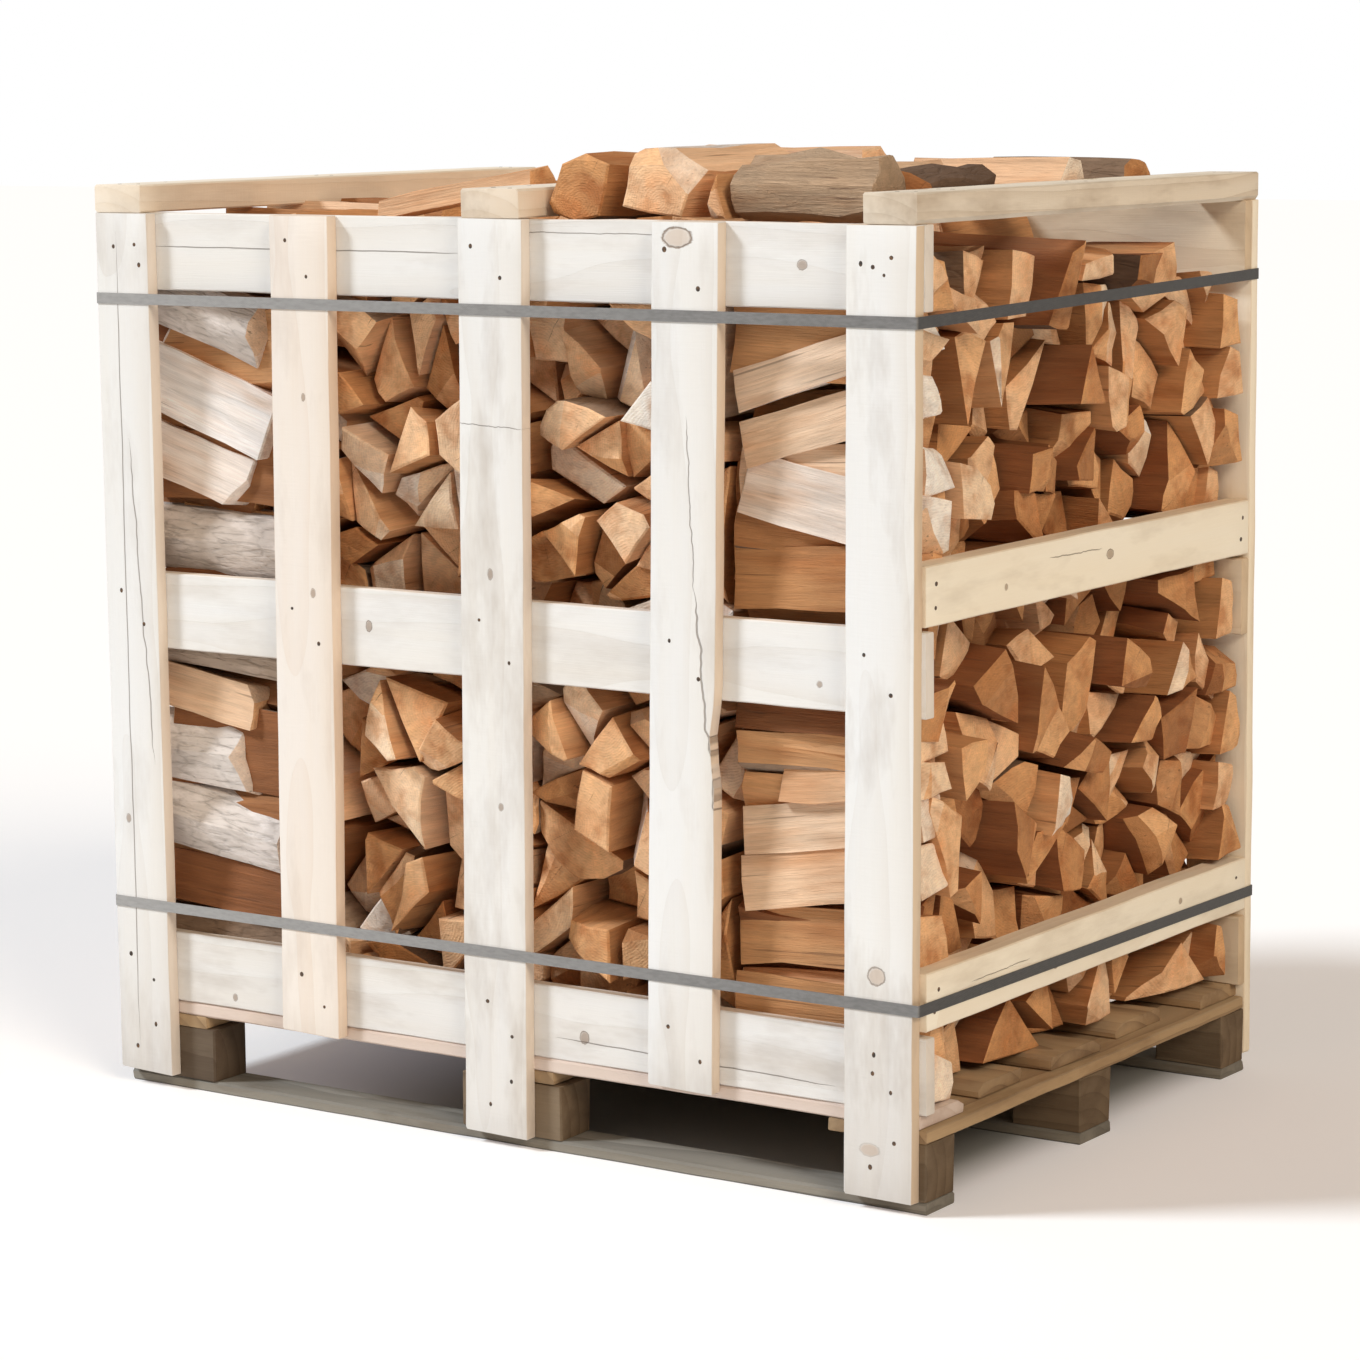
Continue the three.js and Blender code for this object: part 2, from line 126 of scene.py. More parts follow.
# Sawn grain: growth rings round a pith beside the board, fibres along local Z and marks left by the saw.
def makeSawnGrain():
    group, given, out = newGroup(
        "sawn grain",
        {"Vector": (0, 0, 0), "Pale": (0.8, 0.7, 0.55, 1), "Dark": (0.6, 0.45, 0.3, 1), "Rings": (55.0,), "Contrast": (0.5,)},
        {"Color": "Color", "Height": "Float", "Roughness": "Float"},
    )
    place = given["Vector"]
    drift = addNode(group, "ShaderNodeTexNoise", {"Vector": stretch(group, place, (5, 5, 1.6)), "Scale": 1.0, "Detail": 2.0})
    pushed = addNode(group, "ShaderNodeVectorMath", {0: drift.outputs["Color"], 1: (0.5, 0.5, 0.5)}, operation="SUBTRACT")
    pushed = stretch(group, pushed.outputs[0], (0.05, 0.05, 0.0))
    bent = addNode(group, "ShaderNodeVectorMath", {0: place, 1: pushed}, operation="ADD").outputs[0]
    links = {"Vector": bent, "Scale": given["Rings"], "Distortion": 0.0}
    rings = addNode(group, "ShaderNodeTexWave", links, wave_type="RINGS", rings_direction="Z", wave_profile="SAW").outputs["Fac"]
    fibre = speckle(group, place, (900, 900, 16), 3.0, 0.6)
    broad = speckle(group, place, (14, 14, 1.4), 3.0, 0.6)
    late = math2(group, "POWER", rings, 2.5)
    streak = math2(group, "MULTIPLY", late, remap(group, broad, 0.3, 0.7, 0.35, 1.0))
    shade = math2(group, "ADD", math2(group, "MULTIPLY", streak, 0.75), math2(group, "MULTIPLY", fibre, 0.35))
    shade = math2(group, "MULTIPLY", shade, given["Contrast"], True)
    colour = blendColours(group, shade, given["Pale"], given["Dark"])
    warm = blendColours(group, remap(group, broad, 0.35, 0.75), (1, 1, 1, 1), (1.0, 0.965, 0.91, 1), "MULTIPLY")
    group.links.new(blendColours(group, 1.0, colour, warm, "MULTIPLY"), out["Color"])
    saw = speckle(group, place, (30, 30, 330), 2.0, 0.5)
    height = math2(group, "ADD", math2(group, "MULTIPLY", fibre, 0.5), math2(group, "MULTIPLY", saw, 0.35))
    group.links.new(math2(group, "SUBTRACT", height, math2(group, "MULTIPLY", late, 0.25)), out["Height"])
    group.links.new(remap(group, fibre, 0.2, 0.8, 0.72, 0.9), out["Roughness"])
    return group


# Split face: long torn fibres, broad waves and a few dark tears.
def makeSplitFibre():
    group, given, out = newGroup(
        "split fibre",
        {"Vector": (0, 0, 0), "Base": (0.6, 0.35, 0.2, 1)},
        {"Color": "Color", "Height": "Float", "Roughness": "Float"},
    )
    place = given["Vector"]
    torn = speckle(group, place, (420, 420, 9), 4.0, 0.65, 0.4)
    fine = speckle(group, place, (1500, 1500, 30), 2.0, 0.6)
    wave = speckle(group, place, (60, 60, 5), 3.0, 0.5, 0.6)
    patch = speckle(group, place, (16, 16, 4), 3.0, 0.6)
    light = remap(group, torn, 0.25, 0.75, 0.84, 1.10)
    light = math2(group, "MULTIPLY", light, remap(group, fine, 0.2, 0.8, 0.88, 1.08))
    light = math2(group, "MULTIPLY", light, remap(group, wave, 0.3, 0.7, 0.84, 1.12))
    tint = colourRamp(group, patch, ((0.3, (0.78, 0.62, 0.5)), (0.5, (1, 1, 1)), (0.7, (1.08, 1.04, 1.0))))
    colour = blendColours(group, 1.0, given["Base"], tint, "MULTIPLY")
    scaled = addNode(group, "ShaderNodeVectorMath", {0: colour, "Scale": light}, operation="SCALE").outputs[0]
    tear = remap(group, speckle(group, place, (150, 150, 3), 2.0, 0.5), 0.27, 0.34, 0.5, 0.0, True)
    group.links.new(blendColours(group, tear, scaled, (0.12, 0.055, 0.03, 1)), out["Color"])
    height = math2(group, "ADD", math2(group, "MULTIPLY", wave, 1.6), math2(group, "MULTIPLY", torn, 1.0))
    group.links.new(math2(group, "ADD", height, math2(group, "MULTIPLY", fine, 0.25)), out["Height"])
    group.links.new(remap(group, torn, 0.2, 0.8, 0.62, 0.85), out["Roughness"])
    return group


# Sawn end of a log: rings about the pith, drying checks that run out from it, saw scratches.
def makeEndRings():
    group, given, out = newGroup(
        "end rings",
        {"Vector": (0, 0, 0), "Base": (0.6, 0.35, 0.2, 1)},
        {"Color": "Color", "Height": "Float", "Roughness": "Float"},
    )
    place = given["Vector"]
    wobble = addNode(group, "ShaderNodeTexNoise", {"Vector": stretch(group, place, (22, 22, 2)), "Scale": 1.0, "Detail": 2.0})
    pushed = addNode(group, "ShaderNodeVectorMath", {0: wobble.outputs["Color"], 1: (0.5, 0.5, 0.5)}, operation="SUBTRACT")
    bent = addNode(group, "ShaderNodeVectorMath", {0: place, 1: stretch(group, pushed.outputs[0], (0.016, 0.016, 0))}, operation="ADD").outputs[0]
    rings = addNode(group, "ShaderNodeTexWave", {"Vector": bent, "Scale": 88.0}, wave_type="RINGS", rings_direction="Z").outputs["Fac"]
    flat = stretch(group, place, (1, 1, 0))
    ray = addNode(group, "ShaderNodeVectorMath", {0: flat}, operation="NORMALIZE").outputs[0]
    spokes = speckle(group, ray, (14, 14, 14), 3.0, 0.6)
    reach = addNode(group, "ShaderNodeVectorMath", {0: flat}, operation="LENGTH").outputs["Value"]
    check = remap(group, spokes, 0.30, 0.335, 1.0, 0.0, True)
    check = math2(group, "MULTIPLY", check, remap(group, reach, 0.008, 0.03))
    check = math2(group, "MULTIPLY", check, remap(group, speckle(group, place, (35, 35, 35)), 0.45, 0.6))
    patch = speckle(group, place, (20, 20, 6), 3.0, 0.6)
    saw = speckle(group, place, (160, 900, 40), 2.0, 0.6)
    torn = speckle(group, place, (70, 70, 40), 3.0, 0.6, 0.5)
    light = math2(group, "MULTIPLY", remap(group, rings, 0, 1, 0.96, 1.03), remap(group, saw, 0.2, 0.8, 0.84, 1.12))
    light = math2(group, "MULTIPLY", light, remap(group, torn, 0.3, 0.7, 0.87, 1.10))
    tint = colourRamp(group, patch, ((0.32, (0.72, 0.56, 0.46)), (0.5, (1, 1, 1)), (0.7, (1.12, 1.08, 1.02))))
    colour = blendColours(group, 1.0, given["Base"], tint, "MULTIPLY")
    heart = math2(group, "MULTIPLY", remap(group, reach, 0.016, 0.045, 0.4, 0.0, True), remap(group, patch, 0.4, 0.6))
    colour = blendColours(group, heart, colour, (0.75, 0.38, 0.16, 1), "MULTIPLY")
    scaled = addNode(group, "ShaderNodeVectorMath", {0: colour, "Scale": light}, operation="SCALE").outputs[0]
    group.links.new(blendColours(group, math2(group, "MULTIPLY", check, 0.75), scaled, (0.09, 0.04, 0.022, 1)), out["Color"])
    height = math2(group, "ADD", math2(group, "MULTIPLY", saw, 0.9), math2(group, "MULTIPLY", rings, 0.2))
    height = math2(group, "ADD", height, math2(group, "MULTIPLY", torn, 2.4))
    group.links.new(math2(group, "SUBTRACT", height, math2(group, "MULTIPLY", check, 1.5)), out["Height"])
    group.links.new(remap(group, saw, 0.2, 0.8, 0.66, 0.86), out["Roughness"])
    return group


# Bark: smooth grey skin with lighter patches, shallow furrows along the log and brown where it has rubbed off.
def makeBarkSkin():
    group, given, out = newGroup(
        "bark skin",
        {"Vector": (0, 0, 0), "Skin": (0.3, 0.25, 0.21, 1), "Patch": (0.5, 0.46, 0.42, 1), "Furrow": (0.06, 0.035, 0.022, 1)},
        {"Color": "Color", "Height": "Float", "Roughness": "Float"},
    )
    place = given["Vector"]
    furrow = speckle(group, place, (120, 120, 20), 5.0, 0.65, 0.9)
    plates = addNode(
        group, "ShaderNodeTexVoronoi", {"Vector": stretch(group, place, (75, 75, 20)), "Scale": 1.0}, feature="DISTANCE_TO_EDGE",
    ).outputs["Distance"]
    crack = math2(group, "MULTIPLY", remap(group, plates, 0.0, 0.1, 1.0, 0.0, True), remap(group, furrow, 0.4, 0.6, 0.6, 0.0))
    lichen = remap(group, speckle(group, place, (34, 34, 14), 4.0, 0.65), 0.46, 0.62, 0.0, 1.0, True)
    colour = blendColours(group, lichen, given["Skin"], given["Patch"])
    colour = blendColours(group, remap(group, furrow, 0.32, 0.5, 0.3, 0.0, True), colour, given["Furrow"])
    colour = blendColours(group, math2(group, "MULTIPLY", crack, 0.2), colour, given["Furrow"])
    group.links.new(colour, out["Color"])
    height = math2(group, "SUBTRACT", math2(group, "MULTIPLY", furrow, 1.1), math2(group, "MULTIPLY", crack, 0.6))
    group.links.new(height, out["Height"])
    group.links.new(remap(group, furrow, 0.2, 0.8, 0.95, 0.75), out["Roughness"])
    return group


# A knot: an oval of dark end grain with a darker rim, on Object coordinates across Y.
def makeKnotMark():
    group, given, out = newGroup(
        "knot mark",
        {"Vector": (0, 0, 0), "Rim": (0.6,)},
        {"Mask": "Float", "Ring": "Float"},
    )
    wobble = speckle(group, given["Vector"], (2.5, 2.5, 2.5), 2.0)
    reach = addNode(group, "ShaderNodeVectorMath", {0: given["Vector"]}, operation="LENGTH").outputs["Value"]
    reach = math2(group, "ADD", reach, math2(group, "MULTIPLY", wobble, 0.35))
    group.links.new(remap(group, reach, 0.85, 1.2, 1.0, 0.0, True), out["Mask"])
    edge = math2(group, "ABSOLUTE", math2(group, "SUBTRACT", reach, 1.12))
    group.links.new(math2(group, "MULTIPLY", remap(group, edge, 0.0, 0.16, 1.0, 0.0, True), given["Rim"]), out["Ring"])
    return group


# A drying crack along local X from 0 to 1, wandering in Z.
def makeCrackLine():
    group, given, out = newGroup(
        "crack line",
        {"Vector": (0, 0, 0), "Wander": (0.004,), "Width": (0.0008,)},
        {"Mask": "Float"},
    )
    parts = addNode(group, "ShaderNodeSeparateXYZ", {0: given["Vector"]}).outputs
    line = addNode(group, "ShaderNodeTexNoise", {"W": math2(group, "MULTIPLY", parts[0], 6.0), "Scale": 1.0}, noise_dimensions="1D").outputs["Fac"]
    line = math2(group, "MULTIPLY", math2(group, "SUBTRACT", line, 0.5), given["Wander"])
    off = math2(group, "ABSOLUTE", math2(group, "SUBTRACT", parts[2], line))
    ends = math2(group, "MULTIPLY", remap(group, parts[0], 0.0, 0.12), remap(group, parts[0], 0.88, 1.0, 1.0, 0.0))
    width = math2(group, "MULTIPLY", given["Width"], ends)
    clean = remap(group, math2(group, "DIVIDE", off, math2(group, "MAXIMUM", width, 0.00005)), 0.5, 1.3, 1.0, 0.0, True)
    group.links.new(math2(group, "MULTIPLY", clean, remap(group, ends, 0.02, 0.15)), out["Mask"])
    return group


sawnGrain = makeSawnGrain()
splitFibre = makeSplitFibre()
endRings = makeEndRings()
barkSkin = makeBarkSkin()
knotMark = makeKnotMark()
crackLine = makeCrackLine()
print("shader groups ready")


def newMaterial(name):
    material = bpy.data.materials.new(name)
    material.use_nodes = True
    tree = material.node_tree
    return material, tree, tree.nodes["Principled BSDF"]


def joinGroup(tree, group, links):
    node = addNode(tree, "ShaderNodeGroup", node_tree=group)
    for socket, value in links.items():
        if isinstance(value, bpy.types.NodeSocket):
            tree.links.new(value, node.inputs[socket])
        else:
            node.inputs[socket].default_value = value
    return node.outputs


def attribute(tree, name, output="Fac"):
    return addNode(tree, "ShaderNodeAttribute", attribute_name=name).outputs[output]


def dress(tree, surface, colour, roughness, height, depth, strength=1.0):
    tree.links.new(colour, surface.inputs["Base Color"])
    tree.links.new(roughness, surface.inputs["Roughness"])
    bump = addNode(tree, "ShaderNodeBump", {"Height": height, "Strength": strength, "Distance": depth})
    tree.links.new(bump.outputs["Normal"], surface.inputs["Normal"])
    surface.inputs["Specular IOR Level"].default_value = 0.25


# Board finish. knots: middle x, z and half sizes. cracks: start x, z, length, turn in degrees, wander, width. foot:
# painted shade near the floor.
def makeBoardWood(
    name, pale, dark, contrast=0.5, rings=16.0, knots=(), cracks=(), grime=0.3, flank=0.5, endWear=0.5, foot=0.0, onSide=False,
):
    material, tree, surface = newMaterial(name)
    grain = attribute(tree, "grain", "Vector")
    tone = attribute(tree, "tone")
    wood = joinGroup(tree, sawnGrain, {"Vector": grain, "Pale": (*pale, 1), "Dark": (*dark, 1), "Rings": rings, "Contrast": contrast})
    colour, height = wood["Color"], wood["Height"]
    place = addNode(tree, "ShaderNodeTexCoord").outputs["Object"]
    height3 = addNode(tree, "ShaderNodeSeparateXYZ", {0: place}).outputs[2]
    if onSide:
        turned = {"Vector": place, "Rotation": (0, 0, math.radians(-90))}
        place = addNode(tree, "ShaderNodeMapping", turned).outputs[0]
    for x, z, halfX, halfZ, rim in knots:
        spot = addNode(tree, "ShaderNodeMapping", {"Vector": place, "Location": (x, 0, z), "Scale": (halfX, 3.0, halfZ)}, vector_type="TEXTURE")
        mark = joinGroup(tree, knotMark, {"Vector": spot.outputs[0], "Rim": rim})
        fill = ((0.55, 0.36, 0.22, 1), 0.5) if halfX > 0.01 else ((0.30, 0.19, 0.12, 1), 0.7)
        colour = blendColours(tree, math2(tree, "MULTIPLY", mark["Mask"], fill[1]), colour, fill[0])
        colour = blendColours(tree, mark["Ring"], colour, (0.20, 0.12, 0.07, 1))
        height = math2(tree, "SUBTRACT", height, math2(tree, "MULTIPLY", mark["Ring"], 1.5))
    for x, z, length, turn, wander, width in cracks:
        links = {"Vector": place, "Location": (x, 0, z), "Rotation": (0, math.radians(turn), 0), "Scale": (length, 1, 1)}
        line = addNode(tree, "ShaderNodeMapping", links, vector_type="TEXTURE").outputs[0]
        mask = joinGroup(tree, crackLine, {"Vector": line, "Wander": wander, "Width": width})["Mask"]
        colour = blendColours(tree, math2(tree, "MULTIPLY", mask, 0.6), colour, (0.16, 0.10, 0.065, 1))
        height = math2(tree, "SUBTRACT", height, math2(tree, "MULTIPLY", mask, 4.0))
    smudge = speckle(tree, grain, (18, 18, 5), 4.0, 0.65)
    colour = blendColours(tree, remap(tree, smudge, 0.5, 0.8, 0.0, grime), colour, (0.42, 0.33, 0.25, 1), "MULTIPLY")
    colour = blendColours(tree, math2(tree, "MULTIPLY", attribute(tree, "flank"), flank), colour, (0.84, 0.64, 0.44, 1), "MULTIPLY")
    # painted shade: the low part of a board is darkened towards the floor, mottled, as far as foot asks
    paintedLowShade = math2(tree, "MULTIPLY", remap(tree, height3, 0.02, 0.30, 1.0, 0.0), remap(tree, smudge, 0.3, 0.7, 0.6, 1.0))
    colour = blendColours(tree, math2(tree, "MULTIPLY", paintedLowShade, foot), colour, (0.66, 0.61, 0.57, 1), "MULTIPLY")
    edge = math2(tree, "MULTIPLY", attribute(tree, "wear"), remap(tree, smudge, 0.35, 0.6, 0.12, endWear))
    colour = blendColours(tree, edge, colour, (*dark, 1))
    colour = blendColours(tree, remap(tree, tone, 0, 1, 0.0, 0.35), colour, (*dark, 1))
    dress(tree, surface, colour, wood["Roughness"], height, 0.0006)
    return material


def makeLogWood(name, group, stops, depth):
    material, tree, surface = newMaterial(name)
    tone = math2(tree, "ADD", attribute(tree, "tone"), attribute(tree, "shade"))
    base = colourRamp(tree, math2(tree, "MULTIPLY", tone, 0.8), stops)
    wood = joinGroup(tree, group, {"Vector": attribute(tree, "grain", "Vector"), "Base": base})
    dress(tree, surface, wood["Color"], wood["Roughness"], wood["Height"], depth)
    return material


def makeLogBark(name, stops):
    material, tree, surface = newMaterial(name)
    skin = colourRamp(tree, attribute(tree, "tone"), stops)
    pale = blendColours(tree, 1.0, skin, (1.22, 1.24, 1.27, 1), "MULTIPLY")
    bark = joinGroup(tree, barkSkin, {"Vector": attribute(tree, "grain", "Vector"), "Skin": skin, "Patch": pale, "Furrow": (0.09, 0.055, 0.035, 1)})
    dress(tree, surface, bark["Color"], bark["Roughness"], bark["Height"], 0.0022)
    return material


splitColours = (
    (0.0, (0.30, 0.115, 0.045)), (0.24, (0.55, 0.26, 0.105)), (0.44, (0.77, 0.415, 0.20)),
    (0.64, (0.89, 0.55, 0.325)), (0.76, (0.93, 0.67, 0.47)), (1.0, (0.98, 0.91, 0.87)),
)
endColours = (
    (0.0, (0.40, 0.17, 0.065)), (0.24, (0.66, 0.325, 0.135)), (0.44, (0.83, 0.46, 0.22)),
    (0.64, (0.92, 0.58, 0.34)), (0.78, (0.95, 0.70, 0.48)), (1.0, (0.97, 0.88, 0.79)),
)
barkColours = ((0.0, (0.12, 0.07, 0.045)), (0.5, (0.28, 0.18, 0.115)), (0.8, (0.46, 0.345, 0.26)), (1.0, (0.80, 0.72, 0.67)))
weatheredColours = ((0.0, (0.16, 0.10, 0.06)), (0.4, (0.44, 0.29, 0.18)), (0.8, (0.72, 0.51, 0.345)))
logMaterials = [
    makeLogWood("split face", splitFibre, splitColours, 0.0016),
    makeLogWood("sawn log end", endRings, endColours, 0.0011),
    makeLogBark("log bark", barkColours),
    makeLogWood("weathered split face", splitFibre, weatheredColours, 0.004),
]
print("log materials ready")


# Seeded draws, the same sequence as the stacks' layout in the CAD part.
def makeRandom(seed):
    state = [seed]

    def draw():
        state[0] = (state[0] * 16807) % 2147483647
        return state[0] / 2147483647

    return draw


def clip(outline, point, normal):
    kept = []
    for index, (a, b) in enumerate(outline):
        nextA, nextB = outline[(index + 1) % len(outline)]
        here = (a - point[0]) * normal[0] + (b - point[1]) * normal[1]
        after = (nextA - point[0]) * normal[0] + (nextB - point[1]) * normal[1]
        if here <= 0:
            kept.append((a, b))
        if (here < 0) != (after < 0) and here != after:
            share = here / (here - after)
            kept.append((a + (nextA - a) * share, b + (nextB - b) * share))
    return kept


def measure(outline):
    area = sumA = sumB = edge = 0.0
    for index, (a, b) in enumerate(outline):
        nextA, nextB = outline[(index + 1) % len(outline)]
        cross = a * nextB - nextA * b
        area += cross / 2
        sumA += (a + nextA) * cross
        sumB += (b + nextB) * cross
        edge += math.hypot(nextA - a, nextB - b)
    return area, edge, (sumA / (6 * area), sumB / (6 * area))


def grow(outline, amount):
    grown = [(-5000, -5000), (5000, -5000), (5000, 5000), (-5000, 5000)]
    for index, (a, b) in enumerate(outline):
        nextA, nextB = outline[(index + 1) % len(outline)]
        run = math.hypot(nextA - a, nextB - b)
        if run > 0.5:
            normal = ((nextB - b) / run, (a - nextA) / run)
            grown = clip(grown, (a + normal[0] * amount, b + normal[1] * amount), normal)
    return grown


def splitRound(outline, draw):
    done = []
    waiting = [(outline, draw() * math.pi, 0)]
    while waiting:
        piece, turn, cuts = waiting.pop()
        area, edge, middle = measure(piece)
        limit = 9700 + 3600 * draw()
        angle = turn + (draw() - 0.5) * 0.9
        nudge = (draw() - 0.5) * 16
        normal = (math.cos(angle), math.sin(angle))
        point = (middle[0] + normal[0] * nudge, middle[1] + normal[1] * nudge)
        halves = [clip(piece, point, normal), clip(piece, point, (-normal[0], -normal[1]))]
        sizes = [measure(half) for half in halves]
        fine = all(size[0] > 1500 and size[1] ** 2 / size[0] < 30 for size in sizes)
        if cuts < 4 and fine and area > limit:
            waiting += [(half, angle + math.pi / 2, cuts + 1) for half in halves]
        else:
            done.append(piece)
    return done


# The billets of one stack: outline, the pith of the round that each was split from, and how its end stands.
def layBillets(seed, span, floor, roofs, pitch):
    draw = makeRandom(seed)
    tallest = max(roof[2] for roof in roofs)
    columnCount = round((span[1] - span[0]) / pitch)
    rowCount = round((tallest - floor) / (pitch * 0.9))
    stepA = (span[1] - span[0]) / columnCount
    stepB = (tallest - floor) / rowCount
    rounds = []
    for row in range(rowCount):
        for column in range(columnCount):
            shift = 0.72 if row % 2 else 0.28
            a = span[0] + stepA * (column + shift + (draw() - 0.5) * 0.5)
            rounds.append((a, floor + stepB * (row + 0.5 + (draw() - 0.5) * 0.5)))
    billets = []
    for index, (a, b) in enumerate(rounds):
        cell = [(span[0], floor), (span[1], floor), (span[1], tallest), (span[0], tallest)]
        for other, (otherA, otherB) in enumerate(rounds):
            if other != index and cell:
                cell = clip(cell, ((a + otherA) / 2, (b + otherB) / 2), (otherA - a, otherB - b))
        for piece in splitRound(cell, draw):
            draws = [draw() for _ in range(8)]
            lowA = min(corner[0] for corner in piece)
            highA = max(corner[0] for corner in piece)
            middleB = measure(piece)[2][1]
            outline = piece
            tilt = (draws[0] - 0.5) * 0.5
            if lowA < span[0] + 1:
                outline = clip(outline, (span[0] + 3 + draws[1] * 15, middleB), (-math.cos(tilt), math.sin(tilt)))
            if highA > span[1] - 1:
                outline = clip(outline, (span[1] - 3 - draws[1] * 15, middleB), (math.cos(tilt), math.sin(tilt)))
            top = min(roof[2] for roof in roofs if roof[0] < highA + 1 and roof[1] > lowA - 1)
            slope = (draws[2] - 0.5) * 0.7
            point = (highA if slope > 0 else lowA, top - draws[3] * 12)
            outline = clip(outline, point, (-math.sin(slope), math.cos(slope)))
            if len(outline) > 2 and measure(outline)[0] > 1000:
                back = 62 + draws[5] * 20 if draws[4] < 0.07 else draws[5] * 56
                if lowA < span[0] + 1 or highA > span[1] - 1:
                    back *= 0.3
                slopes = ((draws[6] - 0.5) * 0.24, (draws[7] - 0.5) * 0.24)
                billets.append({"outline": outline, "cell": cell, "pith": (a, b), "back": back, "slopes": slopes})
    return billets


logShape = {
    "rim": 0.0024, "stations": 3, "spacing": 0.03, "wave": 0.0036, "ripple": 0.0018, "endRough": 0.005, "bulge": 0.007,
    "sideShade": 0.3, "endShade": 0.42, "mostPull": 0.045,
}


